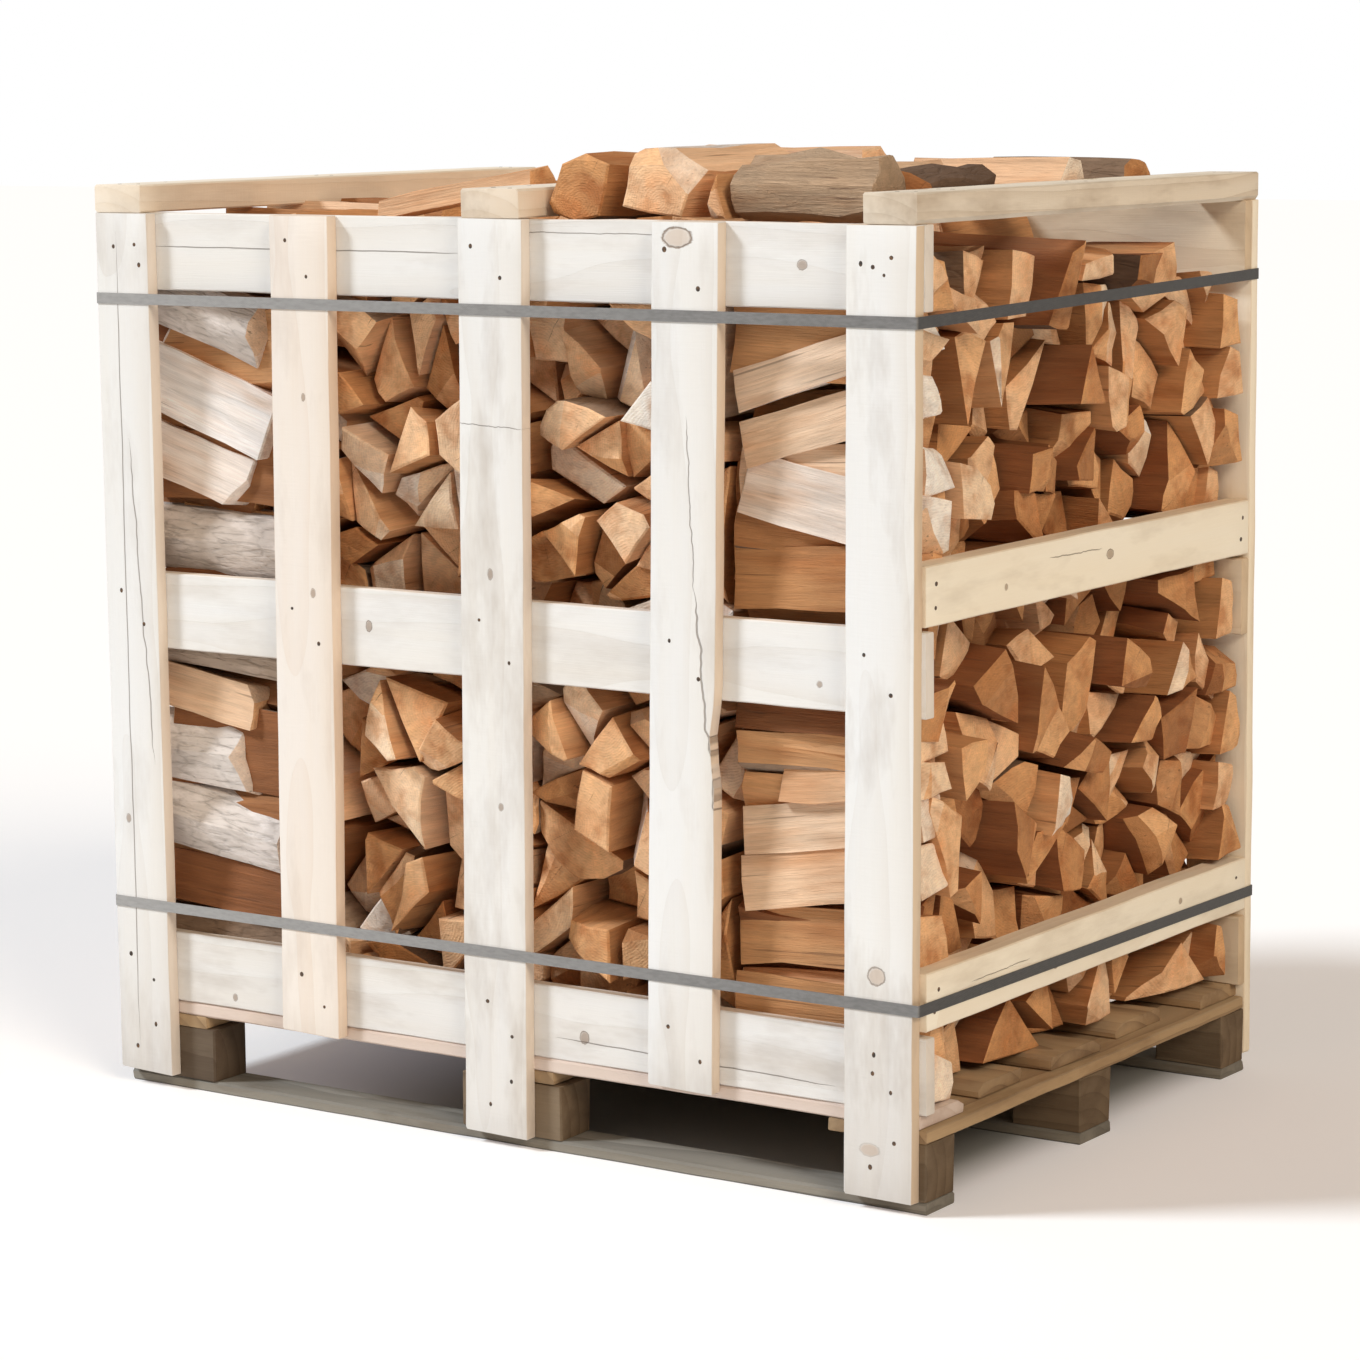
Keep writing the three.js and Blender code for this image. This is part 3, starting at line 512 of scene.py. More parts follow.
# One log standing along local Z, in metres. barky marks the outline edges that keep their bark.
# Folds pull back parts of the visible end, as where the log tore under the axe.
def shapeLog(outline, low, high, barky, draw, slopes=(0, 0), visible="high", bend=1.0, folds=0.62, endTone=None, gnarl=1.0, endLightSideShade=0.0):
    mesh = bmesh.new()
    shades = mesh.faces.layers.float.new("shade")
    foot = mesh.faces.new([mesh.verts.new((a, b, low)) for a, b in outline])
    grown = bmesh.ops.extrude_face_region(mesh, geom=[foot])["geom"]
    top = [item for item in grown if isinstance(item, bmesh.types.BMVert)]
    bmesh.ops.translate(mesh, verts=top, vec=(0, 0, high - low))
    bmesh.ops.recalc_face_normals(mesh, faces=mesh.faces)
    middle = Vector((*measure(outline)[2], 0))
    radius = max(math.hypot(a - middle.x, b - middle.y) for a, b in outline)
    halves = [((a + c) / 2, (b + d) / 2) for (a, b), (c, d) in zip(outline, outline[1:] + outline[:1])]
    # Painted light and shade: each face draws a random shade, on average darker on the sides and lighter on the ends,
    # and the stack's setting paints more light on the ends and more shade on the sides.
    for face in mesh.faces:
        spot = face.calc_center_median()
        if abs(face.normal.z) < 0.5:
            nearest = min(range(len(halves)), key=lambda i: math.hypot(spot.x - halves[i][0], spot.y - halves[i][1]))
            face.material_index = 2 if barky[nearest] else 0
            face[shades] = (draw() - 0.65) * logShape["sideShade"] - endLightSideShade
        else:
            face.material_index = 1
            face[shades] = (draw() - 0.4) * logShape["endShade"] + endLightSideShade if endTone is None else endTone

    def onEnd(face):
        above = face.calc_center_median().z > (low + high) / 2
        return abs(face.normal.z) > 0.9 and above == (visible == "high")

    pulls = []
    for chance in (folds, folds * 0.6):
        heading = draw() * math.tau
        fold = Vector((math.cos(heading), math.sin(heading), 0))
        hinge = middle + fold * radius * (0.05 + 0.45 * draw())
        pull = 0.3 + 1.2 * draw() ** 2
        if draw() < chance:
            cap = [face for face in mesh.faces if onEnd(face)]
            rim = [edge for face in cap for edge in face.edges] + [vert for face in cap for vert in face.verts]
            bmesh.ops.bisect_plane(mesh, geom=cap + list(dict.fromkeys(rim)), plane_co=hinge, plane_no=fold)
            pulls.append((hinge, fold, pull))
            # a pulled-back fold takes its own random shade, plus the painted light on the end
            shade = (draw() - 0.35) * logShape["endShade"] * 1.5 + endLightSideShade
            for face in mesh.faces:
                if onEnd(face) and (face.calc_center_median() - hinge).dot(fold) > 0:
                    face[shades] = shade
                    face.material_index = 0 if pull > 0.75 else 1
    upright = [edge for edge in mesh.edges if abs(edge.verts[0].co.z - edge.verts[1].co.z) > 0.01]
    bmesh.ops.subdivide_edges(mesh, edges=upright, cuts=logShape["stations"])
    across = [edge for edge in mesh.edges if abs(edge.verts[0].co.z - edge.verts[1].co.z) < 0.001]
    wide = [edge for edge in across if edge.calc_length() > logShape["spacing"]]
    bmesh.ops.subdivide_edges(mesh, edges=wide, cuts=1)
    corners = [Vector((a, b)) for a, b in outline]
    for vert in mesh.verts:
        sides = [face for face in vert.link_faces if abs(face.normal.z) < 0.5]
        if sides and all(face.material_index == 2 for face in sides):
            near = min((vert.co.to_2d() - corner).length for corner in corners)
            vert.co += (vert.co - middle).to_2d().normalized().to_3d() * logShape["bulge"] * min(near / 0.02, 1)
    caps = [face for face in mesh.faces if abs(face.normal.z) > 0.9]
    bmesh.ops.inset_region(
        mesh, faces=caps, thickness=logShape["rim"], depth=logShape["rim"] * 0.7, use_even_offset=True,
    )
    shift = Vector((draw() * 40, draw() * 40, draw() * 40))
    bow = Vector(((draw() - 0.5) * 0.012 * bend, (draw() - 0.5) * 0.012 * bend))
    taper = (draw() - 0.5) * 0.12 * bend
    twist = (draw() - 0.5) * 0.2 * bend
    for vert in mesh.verts:
        share = (vert.co.z - low) / (high - low)
        edgeShare = min(max(share, 0.0), 1.0)
        wave = noise.noise_vector(vert.co * 16 + shift) * logShape["wave"] * gnarl
        ripple = noise.noise_vector(vert.co * 55 + shift) * logShape["ripple"] * gnarl
        a = vert.co.x - middle.x
        b = vert.co.y - middle.y
        slope = (a * slopes[0] + b * slopes[1]) * (edgeShare if visible == "high" else 1 - edgeShare)
        turn = twist * (edgeShare - 0.5)
        size = 1 - abs(taper) * (edgeShare if taper > 0 else 1 - edgeShare)
        curve = 4 * edgeShare * (1 - edgeShare)
        shown = share > 0.98 if visible == "high" else share < 0.02
        pull = 0.0
        if shown:
            pull = sum(max((vert.co - hinge).dot(fold), 0.0) * amount for hinge, fold, amount in pulls)
            pull = min(pull, logShape["mostPull"]) * (-1 if visible == "high" else 1)
        x = (a * math.cos(turn) - b * math.sin(turn)) * size + bow.x * curve
        y = (a * math.sin(turn) + b * math.cos(turn)) * size + bow.y * curve
        rough = 0.0
        if share < 0.02 or share > 0.98:
            rough = (noise.noise(vert.co * 45 + shift) - 0.5) * logShape["endRough"] * (1 if share > 0.98 else -1)
        place = Vector((middle.x + x + wave.x + ripple.x, middle.y + y + wave.y + ripple.y, vert.co.z + slope + rough + pull))
        vert.co = place
    ends = [face for face in mesh.faces if len(face.verts) > 4]
    bmesh.ops.triangulate(mesh, faces=ends)
    return mesh


# Gathers many small meshes into one piece, keeping each one's grain coordinates and tone.
# ceiling keeps every log under the highest point of the part.
class Gathering:
    ceiling = cadBox[1][2] - 0.0003

    def __init__(self):
        self.mesh = bmesh.new()
        self.grain = []
        self.tone = []
        self.shade = []
        self.count = 0

    def add(self, mesh, matrix, tone, pith=(0.0, 0.0), along=0.0):
        for vert in mesh.verts:
            self.grain += (vert.co.x - pith[0], vert.co.y - pith[1], vert.co.z + along)
        self.tone += [tone] * len(mesh.verts)
        shades = mesh.faces.layers.float["shade"]
        self.shade += [face[shades] for face in mesh.faces]
        bmesh.ops.transform(mesh, matrix=matrix, verts=mesh.verts)
        for vert in mesh.verts:
            vert.co.z = min(vert.co.z, self.ceiling)
        for face in mesh.faces:
            face.smooth = True
        mesh.normal_update()
        for edge in mesh.edges:
            edge.smooth = edge.calc_face_angle(0.0) < 0.4
        single = bpy.data.meshes.new("single")
        mesh.to_mesh(single)
        mesh.free()
        self.mesh.from_mesh(single)
        bpy.data.meshes.remove(single)
        self.count += 1

    def finish(self, name, materials, slot, replaced=()):
        data = bpy.data.meshes.new(name)
        self.mesh.to_mesh(data)
        self.mesh.free()
        data.attributes.new("grain", "FLOAT_VECTOR", "POINT").data.foreach_set("vector", self.grain)
        data.attributes.new("tone", "FLOAT", "POINT").data.foreach_set("value", self.tone)
        data.attributes["shade"].data.foreach_set("value", self.shade)
        for material in materials:
            data.materials.append(material)
        piece = bpy.data.objects.new(name, data)
        bpy.context.scene.collection.objects.link(piece)
        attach(piece, "root")
        if replaced:
            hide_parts(*replaced)
        return piece


toWorld = {
    "x": Matrix(((0, 0, 1, 0), (1, 0, 0, 0), (0, 1, 0, 0), (0, 0, 0, 1))),
    "y": Matrix(((1, 0, 0, 0), (0, 0, -1, 0), (0, 1, 0, 0), (0, 0, 0, 1))),
}
railSpans = ((213, 280), (674, 743))
boardSpans = ((115.3, 205), (571, 668), (1024, 1119.7))
# The left and right stacks get more painted light on their log ends and more painted shade on their log sides.
stacks = {
    "stack_left": {
        "axis": "x", "inner": 344.2, "near": 567, "far": 592, "spans": railSpans, "visible": "low", "tones": (0.02, 0.7), "endLightSideShade": 0.12,
        "lay": {
            "seed": 4127, "span": (-381.5, 381.5), "floor": 116, "pitch": 130,
            "roofs": ((-381.5, -210, 1108), (-210, 381.5, 1124)),
        },
    },
    "stack_right": {
        "axis": "x", "inner": 323.2, "near": 567, "far": 592, "spans": railSpans, "visible": "high", "tones": (-0.05, 0.84), "endLightSideShade": 0.12,
        "lay": {
            "seed": 9203, "span": (-381.5, 381.5), "floor": 116, "pitch": 130,
            "roofs": ((-381.5, -200, 1092), (-200, 110, 1104), (110, 290, 1080), (290, 381.5, 1042)),
        },
    },
    "stack_front": {
        "axis": "y", "inner": 131.7, "near": 381.5, "far": 396, "spans": boardSpans, "visible": "high", "tones": (0.18, 0.84),
        "lay": {
            "seed": 3301, "span": (-343, 322), "floor": 116, "pitch": 126,
            "roofs": ((-343, -272, 1136), (-272, -180, 1104), (-180, -27, 1110), (-27, 62, 1118), (62, 322, 1117)),
        },
    },
    "stack_back": {
        "axis": "y", "inner": 131.7, "near": 381.5, "far": 396, "spans": boardSpans, "visible": "low", "tones": (0.05, 0.75),
        "lay": {
            "seed": 7741, "span": (-343, 322), "floor": 116, "pitch": 130,
            "roofs": ((-343, -27, 1146), (-27, 62, 1118), (62, 322, 1150)),
        },
    },
}
mm = 0.001


def onCell(outline, cell):
    marks = []
    for index, (a, b) in enumerate(outline):
        nextA, nextB = outline[(index + 1) % len(outline)]
        midA, midB = (a + nextA) / 2, (b + nextB) / 2
        close = False
        for place, (c, d) in enumerate(cell):
            nextC, nextD = cell[(place + 1) % len(cell)]
            run = math.hypot(nextC - c, nextD - d)
            if run > 1 and abs((midA - c) * (nextD - d) - (midB - d) * (nextC - c)) / run < 1.5:
                close = True
        marks.append(close)
    return marks


def shakeAbout(middle, angles):
    there = Matrix.Translation(middle)
    turn = Matrix.Rotation(angles[0], 4, "X") @ Matrix.Rotation(angles[1], 4, "Y") @ Matrix.Rotation(angles[2], 4, "Z")
    return there @ turn @ there.inverted()


# A large billet is split again from a corner through its middle, and the second piece stands further back.
quartering = {"least": 1400, "usual": 4700, "spread": 2800, "recess": 8, "moreRecess": 32, "slender": 27}


def quarter(billet, draw):
    done = []
    waiting = [(billet["outline"], billet["back"], billet["slopes"])]
    while waiting:
        outline, back, slopes = waiting.pop()
        area, edge, middle = measure(outline)
        aim = (middle[0] + (draw() - 0.5) * 14, middle[1] + (draw() - 0.5) * 14)
        stoutest = quartering["slender"]
        halves = []
        for corner in outline:
            normal = (aim[1] - corner[1], corner[0] - aim[0])
            pair = [clip(outline, corner, normal), clip(outline, corner, (-normal[0], -normal[1]))]
            sizes = [measure(half) for half in pair if len(half) > 2]
            if len(sizes) == 2 and min(size[0] for size in sizes) > quartering["least"]:
                slender = max(size[1] ** 2 / size[0] for size in sizes)
                if slender < stoutest:
                    stoutest = slender
                    halves = pair
        if halves and area > quartering["usual"] + quartering["spread"] * draw():
            further = back + quartering["recess"] + quartering["moreRecess"] * draw()
            first = int(draw() * 2)
            waiting.append((halves[first], back, slopes))
            waiting.append((halves[1 - first], further, ((draw() - 0.5) * 0.5, (draw() - 0.5) * 0.5)))
        else:
            done.append(dict(billet, outline=outline, back=back, slopes=slopes))
    return done


# Logs whose long sides show between the front slats. x and z are their reach in mm at the middle of the log,
# turn tips the right end down in degrees, back sets the face behind the front of the stack.
whole = {"deep": 72, "lean": 8, "turn": 0, "back": 5, "tone": 0.5, "endTone": 0.2, "round": False}
far = dict(whole, deep=58, lean=10, back=701)
further = dict(far, back=716)
sideLogs = {
    "stack_left": (
        dict(whole, x=(-590, -370), z=(958, 1030), turn=17, tone=0.95, round=True, back=8),
        dict(whole, x=(-590, -400), z=(918, 966), turn=16, tone=0.1, back=26),
        dict(whole, x=(-590, -358), z=(845, 931), turn=18, tone=1.25, deep=84, back=2),
        dict(whole, x=(-588, -398), z=(772, 842), turn=17, tone=1.2, back=4),
        dict(whole, x=(-590, -410), z=(728, 784), turn=9, tone=0.12, back=26),
        dict(whole, x=(-590, -346), z=(664, 748), turn=3, tone=0.9, round=True, deep=90),
        dict(whole, x=(-590, -350), z=(540, 596), turn=4, tone=0.82, round=True, back=9),
        dict(whole, x=(-590, -398), z=(482, 540), turn=9, tone=1.05, endTone=-0.4),
        dict(whole, x=(-590, -404), z=(392, 478), turn=3, tone=1.0, round=True),
        dict(whole, x=(-582, -356), z=(302, 386), turn=7, tone=0.98, round=True, back=3),
        dict(whole, x=(-590, -346), z=(232, 300), turn=4, tone=0.05, back=9),
        dict(whole, x=(-590, -346), z=(128, 226), tone=0.35, round=True),
        dict(whole, x=(-575, -352), z=(1062, 1120), turn=1, tone=0.5, back=176),
        dict(whole, x=(-588, -350), z=(1060, 1123), turn=1, tone=0.85, back=262, lean=24),
        dict(whole, x=(-580, -352), z=(1064, 1124), tone=0.3, back=346, lean=16),
        dict(whole, x=(-586, -350), z=(1060, 1124), turn=-1, tone=0.65, back=432, lean=20),
    ),
    "stack_right": (
        dict(whole, x=(325, 566), z=(1002, 1072), turn=-6, tone=0.3, back=30),
        dict(whole, x=(325, 572), z=(934, 984), turn=-17, tone=1.16, back=4),
        dict(whole, x=(333, 574), z=(866, 924), turn=-16, tone=1.06, back=6),
        dict(whole, x=(330, 580), z=(806, 868), turn=-3, tone=1.1, back=12),
        dict(whole, x=(338, 584), z=(762, 838), turn=10, tone=1.02, back=4),
        dict(whole, x=(325, 574), z=(676, 752), turn=-2, tone=0.42, back=6),
        dict(whole, x=(388, 572), z=(512, 572), turn=2, tone=0.66, back=12),
        dict(whole, x=(384, 582), z=(460, 506), turn=-6, tone=0.74, back=2, lean=22),
        dict(whole, x=(331, 580), z=(402, 462), turn=-9, tone=0.92, back=6),
        dict(whole, x=(334, 582), z=(338, 404), turn=-9, tone=0.84, back=1),
        dict(whole, x=(327, 574), z=(262, 332), turn=-3, tone=0.42, back=8),
        dict(whole, x=(327, 572), z=(214, 258), turn=-3, tone=0.8, back=10),
        dict(whole, x=(327, 572), z=(128, 208), tone=0.4, back=8),
        dict(far, x=(330, 594), z=(126, 204), tone=0.25, lean=20),
        dict(far, x=(330, 565), z=(204, 276), tone=0.5, turn=2),
        dict(further, x=(330, 596), z=(280, 352), tone=0.1, turn=-2, lean=26),
        dict(further, x=(330, 590), z=(352, 416), tone=0.6, turn=2),
        dict(further, x=(330, 597), z=(416, 500), tone=0.3, turn=-1, lean=30),
        dict(further, x=(330, 592), z=(500, 566), tone=0.15, turn=2),
        dict(far, x=(330, 596), z=(566, 642), tone=0.45, turn=-2, lean=22),
        dict(far, x=(330, 565), z=(642, 712), tone=0.3, turn=1),
        dict(further, x=(330, 565), z=(714, 786), tone=0.55, turn=-1, lean=26),
        dict(further, x=(330, 594), z=(788, 866), tone=0.2, turn=2),
        dict(further, x=(330, 597), z=(866, 934), tone=0.5, turn=-2, lean=24),
        dict(further, x=(330, 593), z=(936, 1008), tone=0.3, turn=1),
    ),
}
hiddenFront = {"a": -346, "b": (120, 1035)}


def addSideLog(gathering, given, draw):
    low, high = given["z"]
    front = -381.5 + given["back"]
    rise = high - low
    section = [(front, low + 3), (front + given["deep"], low + 8), (front + given["deep"] * 0.8, high - 8)]
    section.append((front + given["lean"], high))
    if given["round"]:
        section = [(front + 9, low + 2)] + section[1:3] + [(front + 14, high - 2), (front + 2, high - rise * 0.26)]
        section.append((front, low + rise * 0.3))
    outline = [(a * mm, b * mm) for a, b in section]
    barky = [given["round"]] * len(outline)
    start, end = (x * mm for x in given["x"])
    log = shapeLog(outline, start, end, barky, draw, bend=0.3, folds=0.5, endTone=given["endTone"])
    middle = Vector(((start + end) / 2, outline[0][0], (low + high) / 2 * mm))
    turn = Matrix.Rotation(math.radians(given["turn"]), 4, "Y")
    place = Matrix.Translation(middle) @ turn @ Matrix.Translation(-middle) @ toWorld["x"]
    gathering.add(log, place, given["tone"], (front * mm + 0.05, low * mm - 0.04), draw() * 3)


def buildStack(name, stack):
    draw = makeRandom(stack["lay"]["seed"] * 7 + 5)
    gathering = Gathering()
    features = sideLogs.get(name, ())
    billets = [piece for billet in layBillets(**stack["lay"]) for piece in quarter(billet, draw)]
    for billet in billets:
        slim = grow(billet["outline"], -(2.2 + 3.4 * draw()))
        if len(slim) < 3:
            continue
        middle = measure(slim)[2]
        if features and middle[0] < hiddenFront["a"] and hiddenFront["b"][0] < middle[1] < hiddenFront["b"][1]:
            continue
        low = min(corner[1] for corner in slim) - 2
        high = max(corner[1] for corner in slim) + 2
        reach = stack["near"] if any(start < high and end > low for start, end in stack["spans"]) else stack["far"]
        slopes = billet["slopes"]
        most = max(abs(slopes[0] * (a - middle[0]) + slopes[1] * (b - middle[1])) for a, b in slim)
        end = reach - billet["back"] - min(most, 12)
        if stack["visible"] == "low":
            slopes = (-slopes[0], -slopes[1])
        keeps = draw() < 0.2
        barky = [mark and keeps for mark in onCell(slim, grow(billet["cell"], -3.0))]
        outline = [(a * mm, b * mm) for a, b in slim]
        ends = (stack["inner"] * mm, end * mm) if stack["visible"] == "high" else (-end * mm, -stack["inner"] * mm)
        # the front and back stacks get a little painted light on the log ends and painted shade on their sides
        log = shapeLog(outline, ends[0], ends[1], barky, draw, slopes, stack["visible"], endLightSideShade=stack.get("endLightSideShade", 0.04))
        angles = ((draw() - 0.5) * 0.11, (draw() - 0.5) * 0.11, (draw() - 0.5) * 0.2)
        shake = shakeAbout((middle[0] * mm, middle[1] * mm, (ends[0] + ends[1]) / 2), angles)
        pith = (billet["pith"][0] * mm, billet["pith"][1] * mm)
        tone = stack["tones"][0] + stack["tones"][1] * draw()
        if any(barky):
            tone = min(tone, 0.72)
        elif middle[1] > 985:
            tone = max(tone, 0.5)  # painted light: the top logs are made paler, as where they lie in the light
        gathering.add(log, toWorld[stack["axis"]] @ shake, tone, pith, draw() * 3)
    for given in features:
        addSideLog(gathering, given, draw)
    print(name, gathering.count, "logs,", len(gathering.mesh.faces), "faces")
    return gathering.finish(name + "_logs", logMaterials, "split_log", (name,))


for name, stack in stacks.items():
    buildStack(name, stack)


# The middle row, with the ridge of its top logs.
ridgeLogs = (
    ((322, 1000), (322, 1064), (290, 1102), (236, 1114), (206, 1088), (214, 1000)),
    ((212, 1004), (202, 1089), (150, 1112), (96, 1108), (68, 1083), (84, 1010)),
    ((82, 1008), (64, 1083), (40, 1116), (-28, 1112), (-34, 1010)),
    ((-36, 1012), (-38, 1146), (-84, 1158), (-114, 1119), (-124, 1010)),
    ((-126, 1008), (-118, 1119), (-160, 1140), (-214, 1154), (-234, 1122), (-232, 1006)),
    ((-236, 1004), (-238, 1123), (-260, 1160), (-298, 1158), (-314, 1118), (-310, 1006)),
    ((-314, 1004), (-318, 1116), (-341, 1099), (-341, 1002)),
)


def buildMiddle():
    draw = makeRandom(60611)
    gathering = Gathering()
    lay = {"seed": 5519, "span": (-343, 322), "floor": 116, "roofs": ((-343, 322, 1004),), "pitch": 130}
    sections = [billet["outline"] for billet in layBillets(**lay)] + [list(reversed(log)) for log in ridgeLogs]
    for section in sections:
        slim = grow(section, -(2.0 + 2.0 * draw()))
        if len(slim) < 3:
            continue
        outline = [(a * mm, b * mm) for a, b in slim]
        barky = [draw() < 0.25 for _ in outline]
        log = shapeLog(outline, -0.129, 0.129, barky, draw)
        pith = (outline[0][0] + (draw() - 0.5) * 0.04, outline[0][1])
        gathering.add(log, toWorld["y"], draw(), pith, draw() * 3)
    print("stack_middle", gathering.count, "logs")
    return gathering.finish("stack_middle_logs", logMaterials, "split_log", ("stack_middle",))


buildMiddle()


# Loose logs on the heap, in mm and degrees as in the CAD part.
looseLogs = (
    {"section": ((-40, -32), (28, -36), (46, 24), (8, 38), (-22, 26), (-48, -20)), "middle": (117, -248, 1158), "length": 246, "turn": -2, "tone": 0.3, "bark": (0,)},
    {"section": ((-50, -28), (30, -38), (52, 16), (10, 42), (-40, 34)), "middle": (224, -250, 1160), "length": 244, "turn": 1, "tone": 0.9, "bark": (3,)},
    {"section": ((-15, -26), (14, -26), (2, 26)), "middle": (296, -244, 1145), "length": 236, "turn": 0, "tone": 0.55, "bark": ()},
    {"section": ((-34, -28), (-10, -35), (22, -33), (38, -10), (33, 18), (10, 35), (-20, 32), (-38, 6)), "middle": (412, -320, 1155), "length": 196, "turn": 88, "tone": 0.75, "bark": (), "weathered": True, "gnarl": 3.6},
    {"section": ((-36, -38), (34, -38), (40, 16), (14, 38), (-30, 34)), "middle": (205, -62, 1160), "length": 252, "turn": 91, "tone": 0.85, "bark": ()},
    {"section": ((-28, -22), (4, -28), (30, -18), (32, 12), (10, 28), (-22, 22), (-34, 0)), "middle": (490, -188, 1148), "length": 178, "turn": 4, "tone": 0.05, "bark": (0, 1, 2, 3, 4, 5, 6), "gnarl": 3.6},
    {"section": ((-44, -30), (40, -30), (24, 26), (-8, 32)), "middle": (412, 78, 1150), "length": 224, "turn": 86, "tone": 0.9, "bark": (1,)},
    {"section": ((-30, -28), (36, -26), (8, 32)), "middle": (392, -120, 1149), "length": 210, "turn": 3, "tone": 0.9, "bark": ()},
    {"section": ((-32, -22), (0, -30), (30, -22), (34, 8), (8, 24), (-26, 20)), "middle": (428, 236, 1150), "length": 196, "turn": 96, "tone": 0.3, "bark": (2, 3, 4, 5)},
    {"section": ((-30, -12), (32, -13), (26, 12), (-16, 16)), "middle": (-150, -240, 1141), "length": 236, "turn": -88, "rise": 9.4, "tone": 0.7, "bark": ()},
)


def buildLooseLog(number, given):
    draw = makeRandom(811 + number * 97)
    outline = [(a * mm, b * mm) for a, b in given["section"]]
    barky = [index in given["bark"] for index in range(len(outline))]
    half = given["length"] / 2 * mm
    log = shapeLog(outline, -half, half, barky, draw, bend=0.4, gnarl=given.get("gnarl", 1.0))
    if given.get("weathered"):
        for face in log.faces:
            face.material_index = 3 if face.material_index < 2 else 2
    turn = Matrix.Rotation(math.radians(given["turn"]), 4, "Z") @ Matrix.Rotation(math.radians(given.get("rise", 0)), 4, "X")
    place = Matrix.Translation(Vector(given["middle"]) * mm) @ turn @ toWorld["y"]
    gathering = Gathering()
    gathering.add(log, place, given["tone"], (0.0, -0.02), draw() * 3)
    name = f"top_log_{number}"
    slot = "log_bark" if len(given["bark"]) > 3 else "split_log"
    return gathering.finish(name + "_wood", logMaterials, slot, (name,))


for number, given in enumerate(looseLogs, 1):
    buildLooseLog(number, given)
print("loose logs ready")


# Boards: each is a cleaned copy of its CAD solid, eased at the corners, cut into stations and roughened.
boardShape = {"ease": 0.0011, "station": 0.045, "wave": 0.0011, "face": 0.0005, "endRough": 0.0012}


def buildBoard(node, along, material, tone=0.3, rough=1.0, pith=(0.02, 0.085)):
    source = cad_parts[node]
    mesh = bmesh.new()
    mesh.from_mesh(source.data)
    bmesh.ops.remove_doubles(mesh, verts=mesh.verts, dist=0.00002)
    bmesh.ops.dissolve_limit(mesh, angle_limit=0.02, verts=mesh.verts, edges=mesh.edges)
    square = [edge for edge in mesh.edges if edge.calc_face_angle(0.0) > 1.2]
    eased = bmesh.ops.bevel(mesh, geom=square, affect="EDGES", offset=boardShape["ease"], segments=2, profile=0.5, material=-1)
    worn = {face for face in eased["faces"]}
    axis = "xyz".index(along)
    low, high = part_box(node)
    wearLayer = mesh.faces.layers.float.new("wear")
    flankLayer = mesh.faces.layers.float.new("flank")
    thin, wide = sorted((index for index in range(3) if index != axis), key=lambda i: high[i] - low[i])
    for face in mesh.faces:
        normal = face.normal
        slanted = sorted(abs(part) for part in normal)[1] > 0.12
        face[wearLayer] = 1.0 if face in worn or slanted else 0.0
        if abs(normal[axis]) > 0.9:
            face[wearLayer] = 1.0
        face[flankLayer] = 1.0 if abs(normal[wide]) > 0.9 or abs(normal[axis]) > 0.9 else 0.0
    normal = [0.0, 0.0, 0.0]
    normal[axis] = 1.0
    count = int((high[axis] - low[axis]) / boardShape["station"])
    for step in range(1, count):
        point = list(low)
        point[axis] = low[axis] + (high[axis] - low[axis]) * step / count
        bmesh.ops.bisect_plane(mesh, geom=mesh.verts[:] + mesh.edges[:] + mesh.faces[:], plane_co=point, plane_no=normal)
    middle = (low + high) / 2
    shift = Vector((middle.x * 31, middle.y * 47, middle.z * 23))
    for vert in mesh.verts:
        wave = noise.noise_vector(Vector((vert.co[axis] * 9, 0 if vert.co[wide] < middle[wide] else 7, 0)) + shift)
        small = noise.noise_vector(vert.co * 60 + shift)
        vert.co[wide] += (wave.x * boardShape["wave"] + small.x * boardShape["face"]) * rough
        vert.co[thin] += small.y * boardShape["face"] * 0.6 * rough
        if min(vert.co[axis] - low[axis], high[axis] - vert.co[axis]) < 0.004:
            vert.co[axis] += noise.noise(vert.co * 90 + shift) * boardShape["endRough"] * rough
        for index in range(3):
            vert.co[index] = min(max(vert.co[index], cadBox[0][index]), cadBox[1][index])
    grain = []
    for vert in mesh.verts:
        offset = vert.co - middle
        grain += (offset[wide] + pith[0], offset[thin] + pith[1], offset[axis] + shift.length)
    for face in mesh.faces:
        face.smooth = True
    for edge in mesh.edges:
        edge.smooth = edge.calc_face_angle(0.0) < 0.5
    data = bpy.data.meshes.new(node + "_wood")
    mesh.to_mesh(data)
    mesh.free()
    data.attributes.new("grain", "FLOAT_VECTOR", "POINT").data.foreach_set("vector", grain)
    data.attributes.new("tone", "FLOAT", "POINT").data.foreach_set("value", [tone] * len(data.vertices))
    data.materials.append(material)
    piece = bpy.data.objects.new(node + "_wood", data)
    bpy.context.scene.collection.objects.link(piece)
    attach(piece, "root")
    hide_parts(node)
    return piece


# The bleached boards get painted shade near the floor through foot.
bleached = {"pale": (0.905, 0.90, 0.90), "dark": (0.715, 0.66, 0.61), "contrast": 0.5, "foot": 0.5}
peach = {"pale": (0.92, 0.86, 0.81), "dark": (0.78, 0.62, 0.50), "contrast": 0.5}
fresh = {"pale": (0.98, 0.905, 0.77), "dark": (0.76, 0.59, 0.41), "contrast": 0.5, "grime": 0.4, "flank": 0.2}

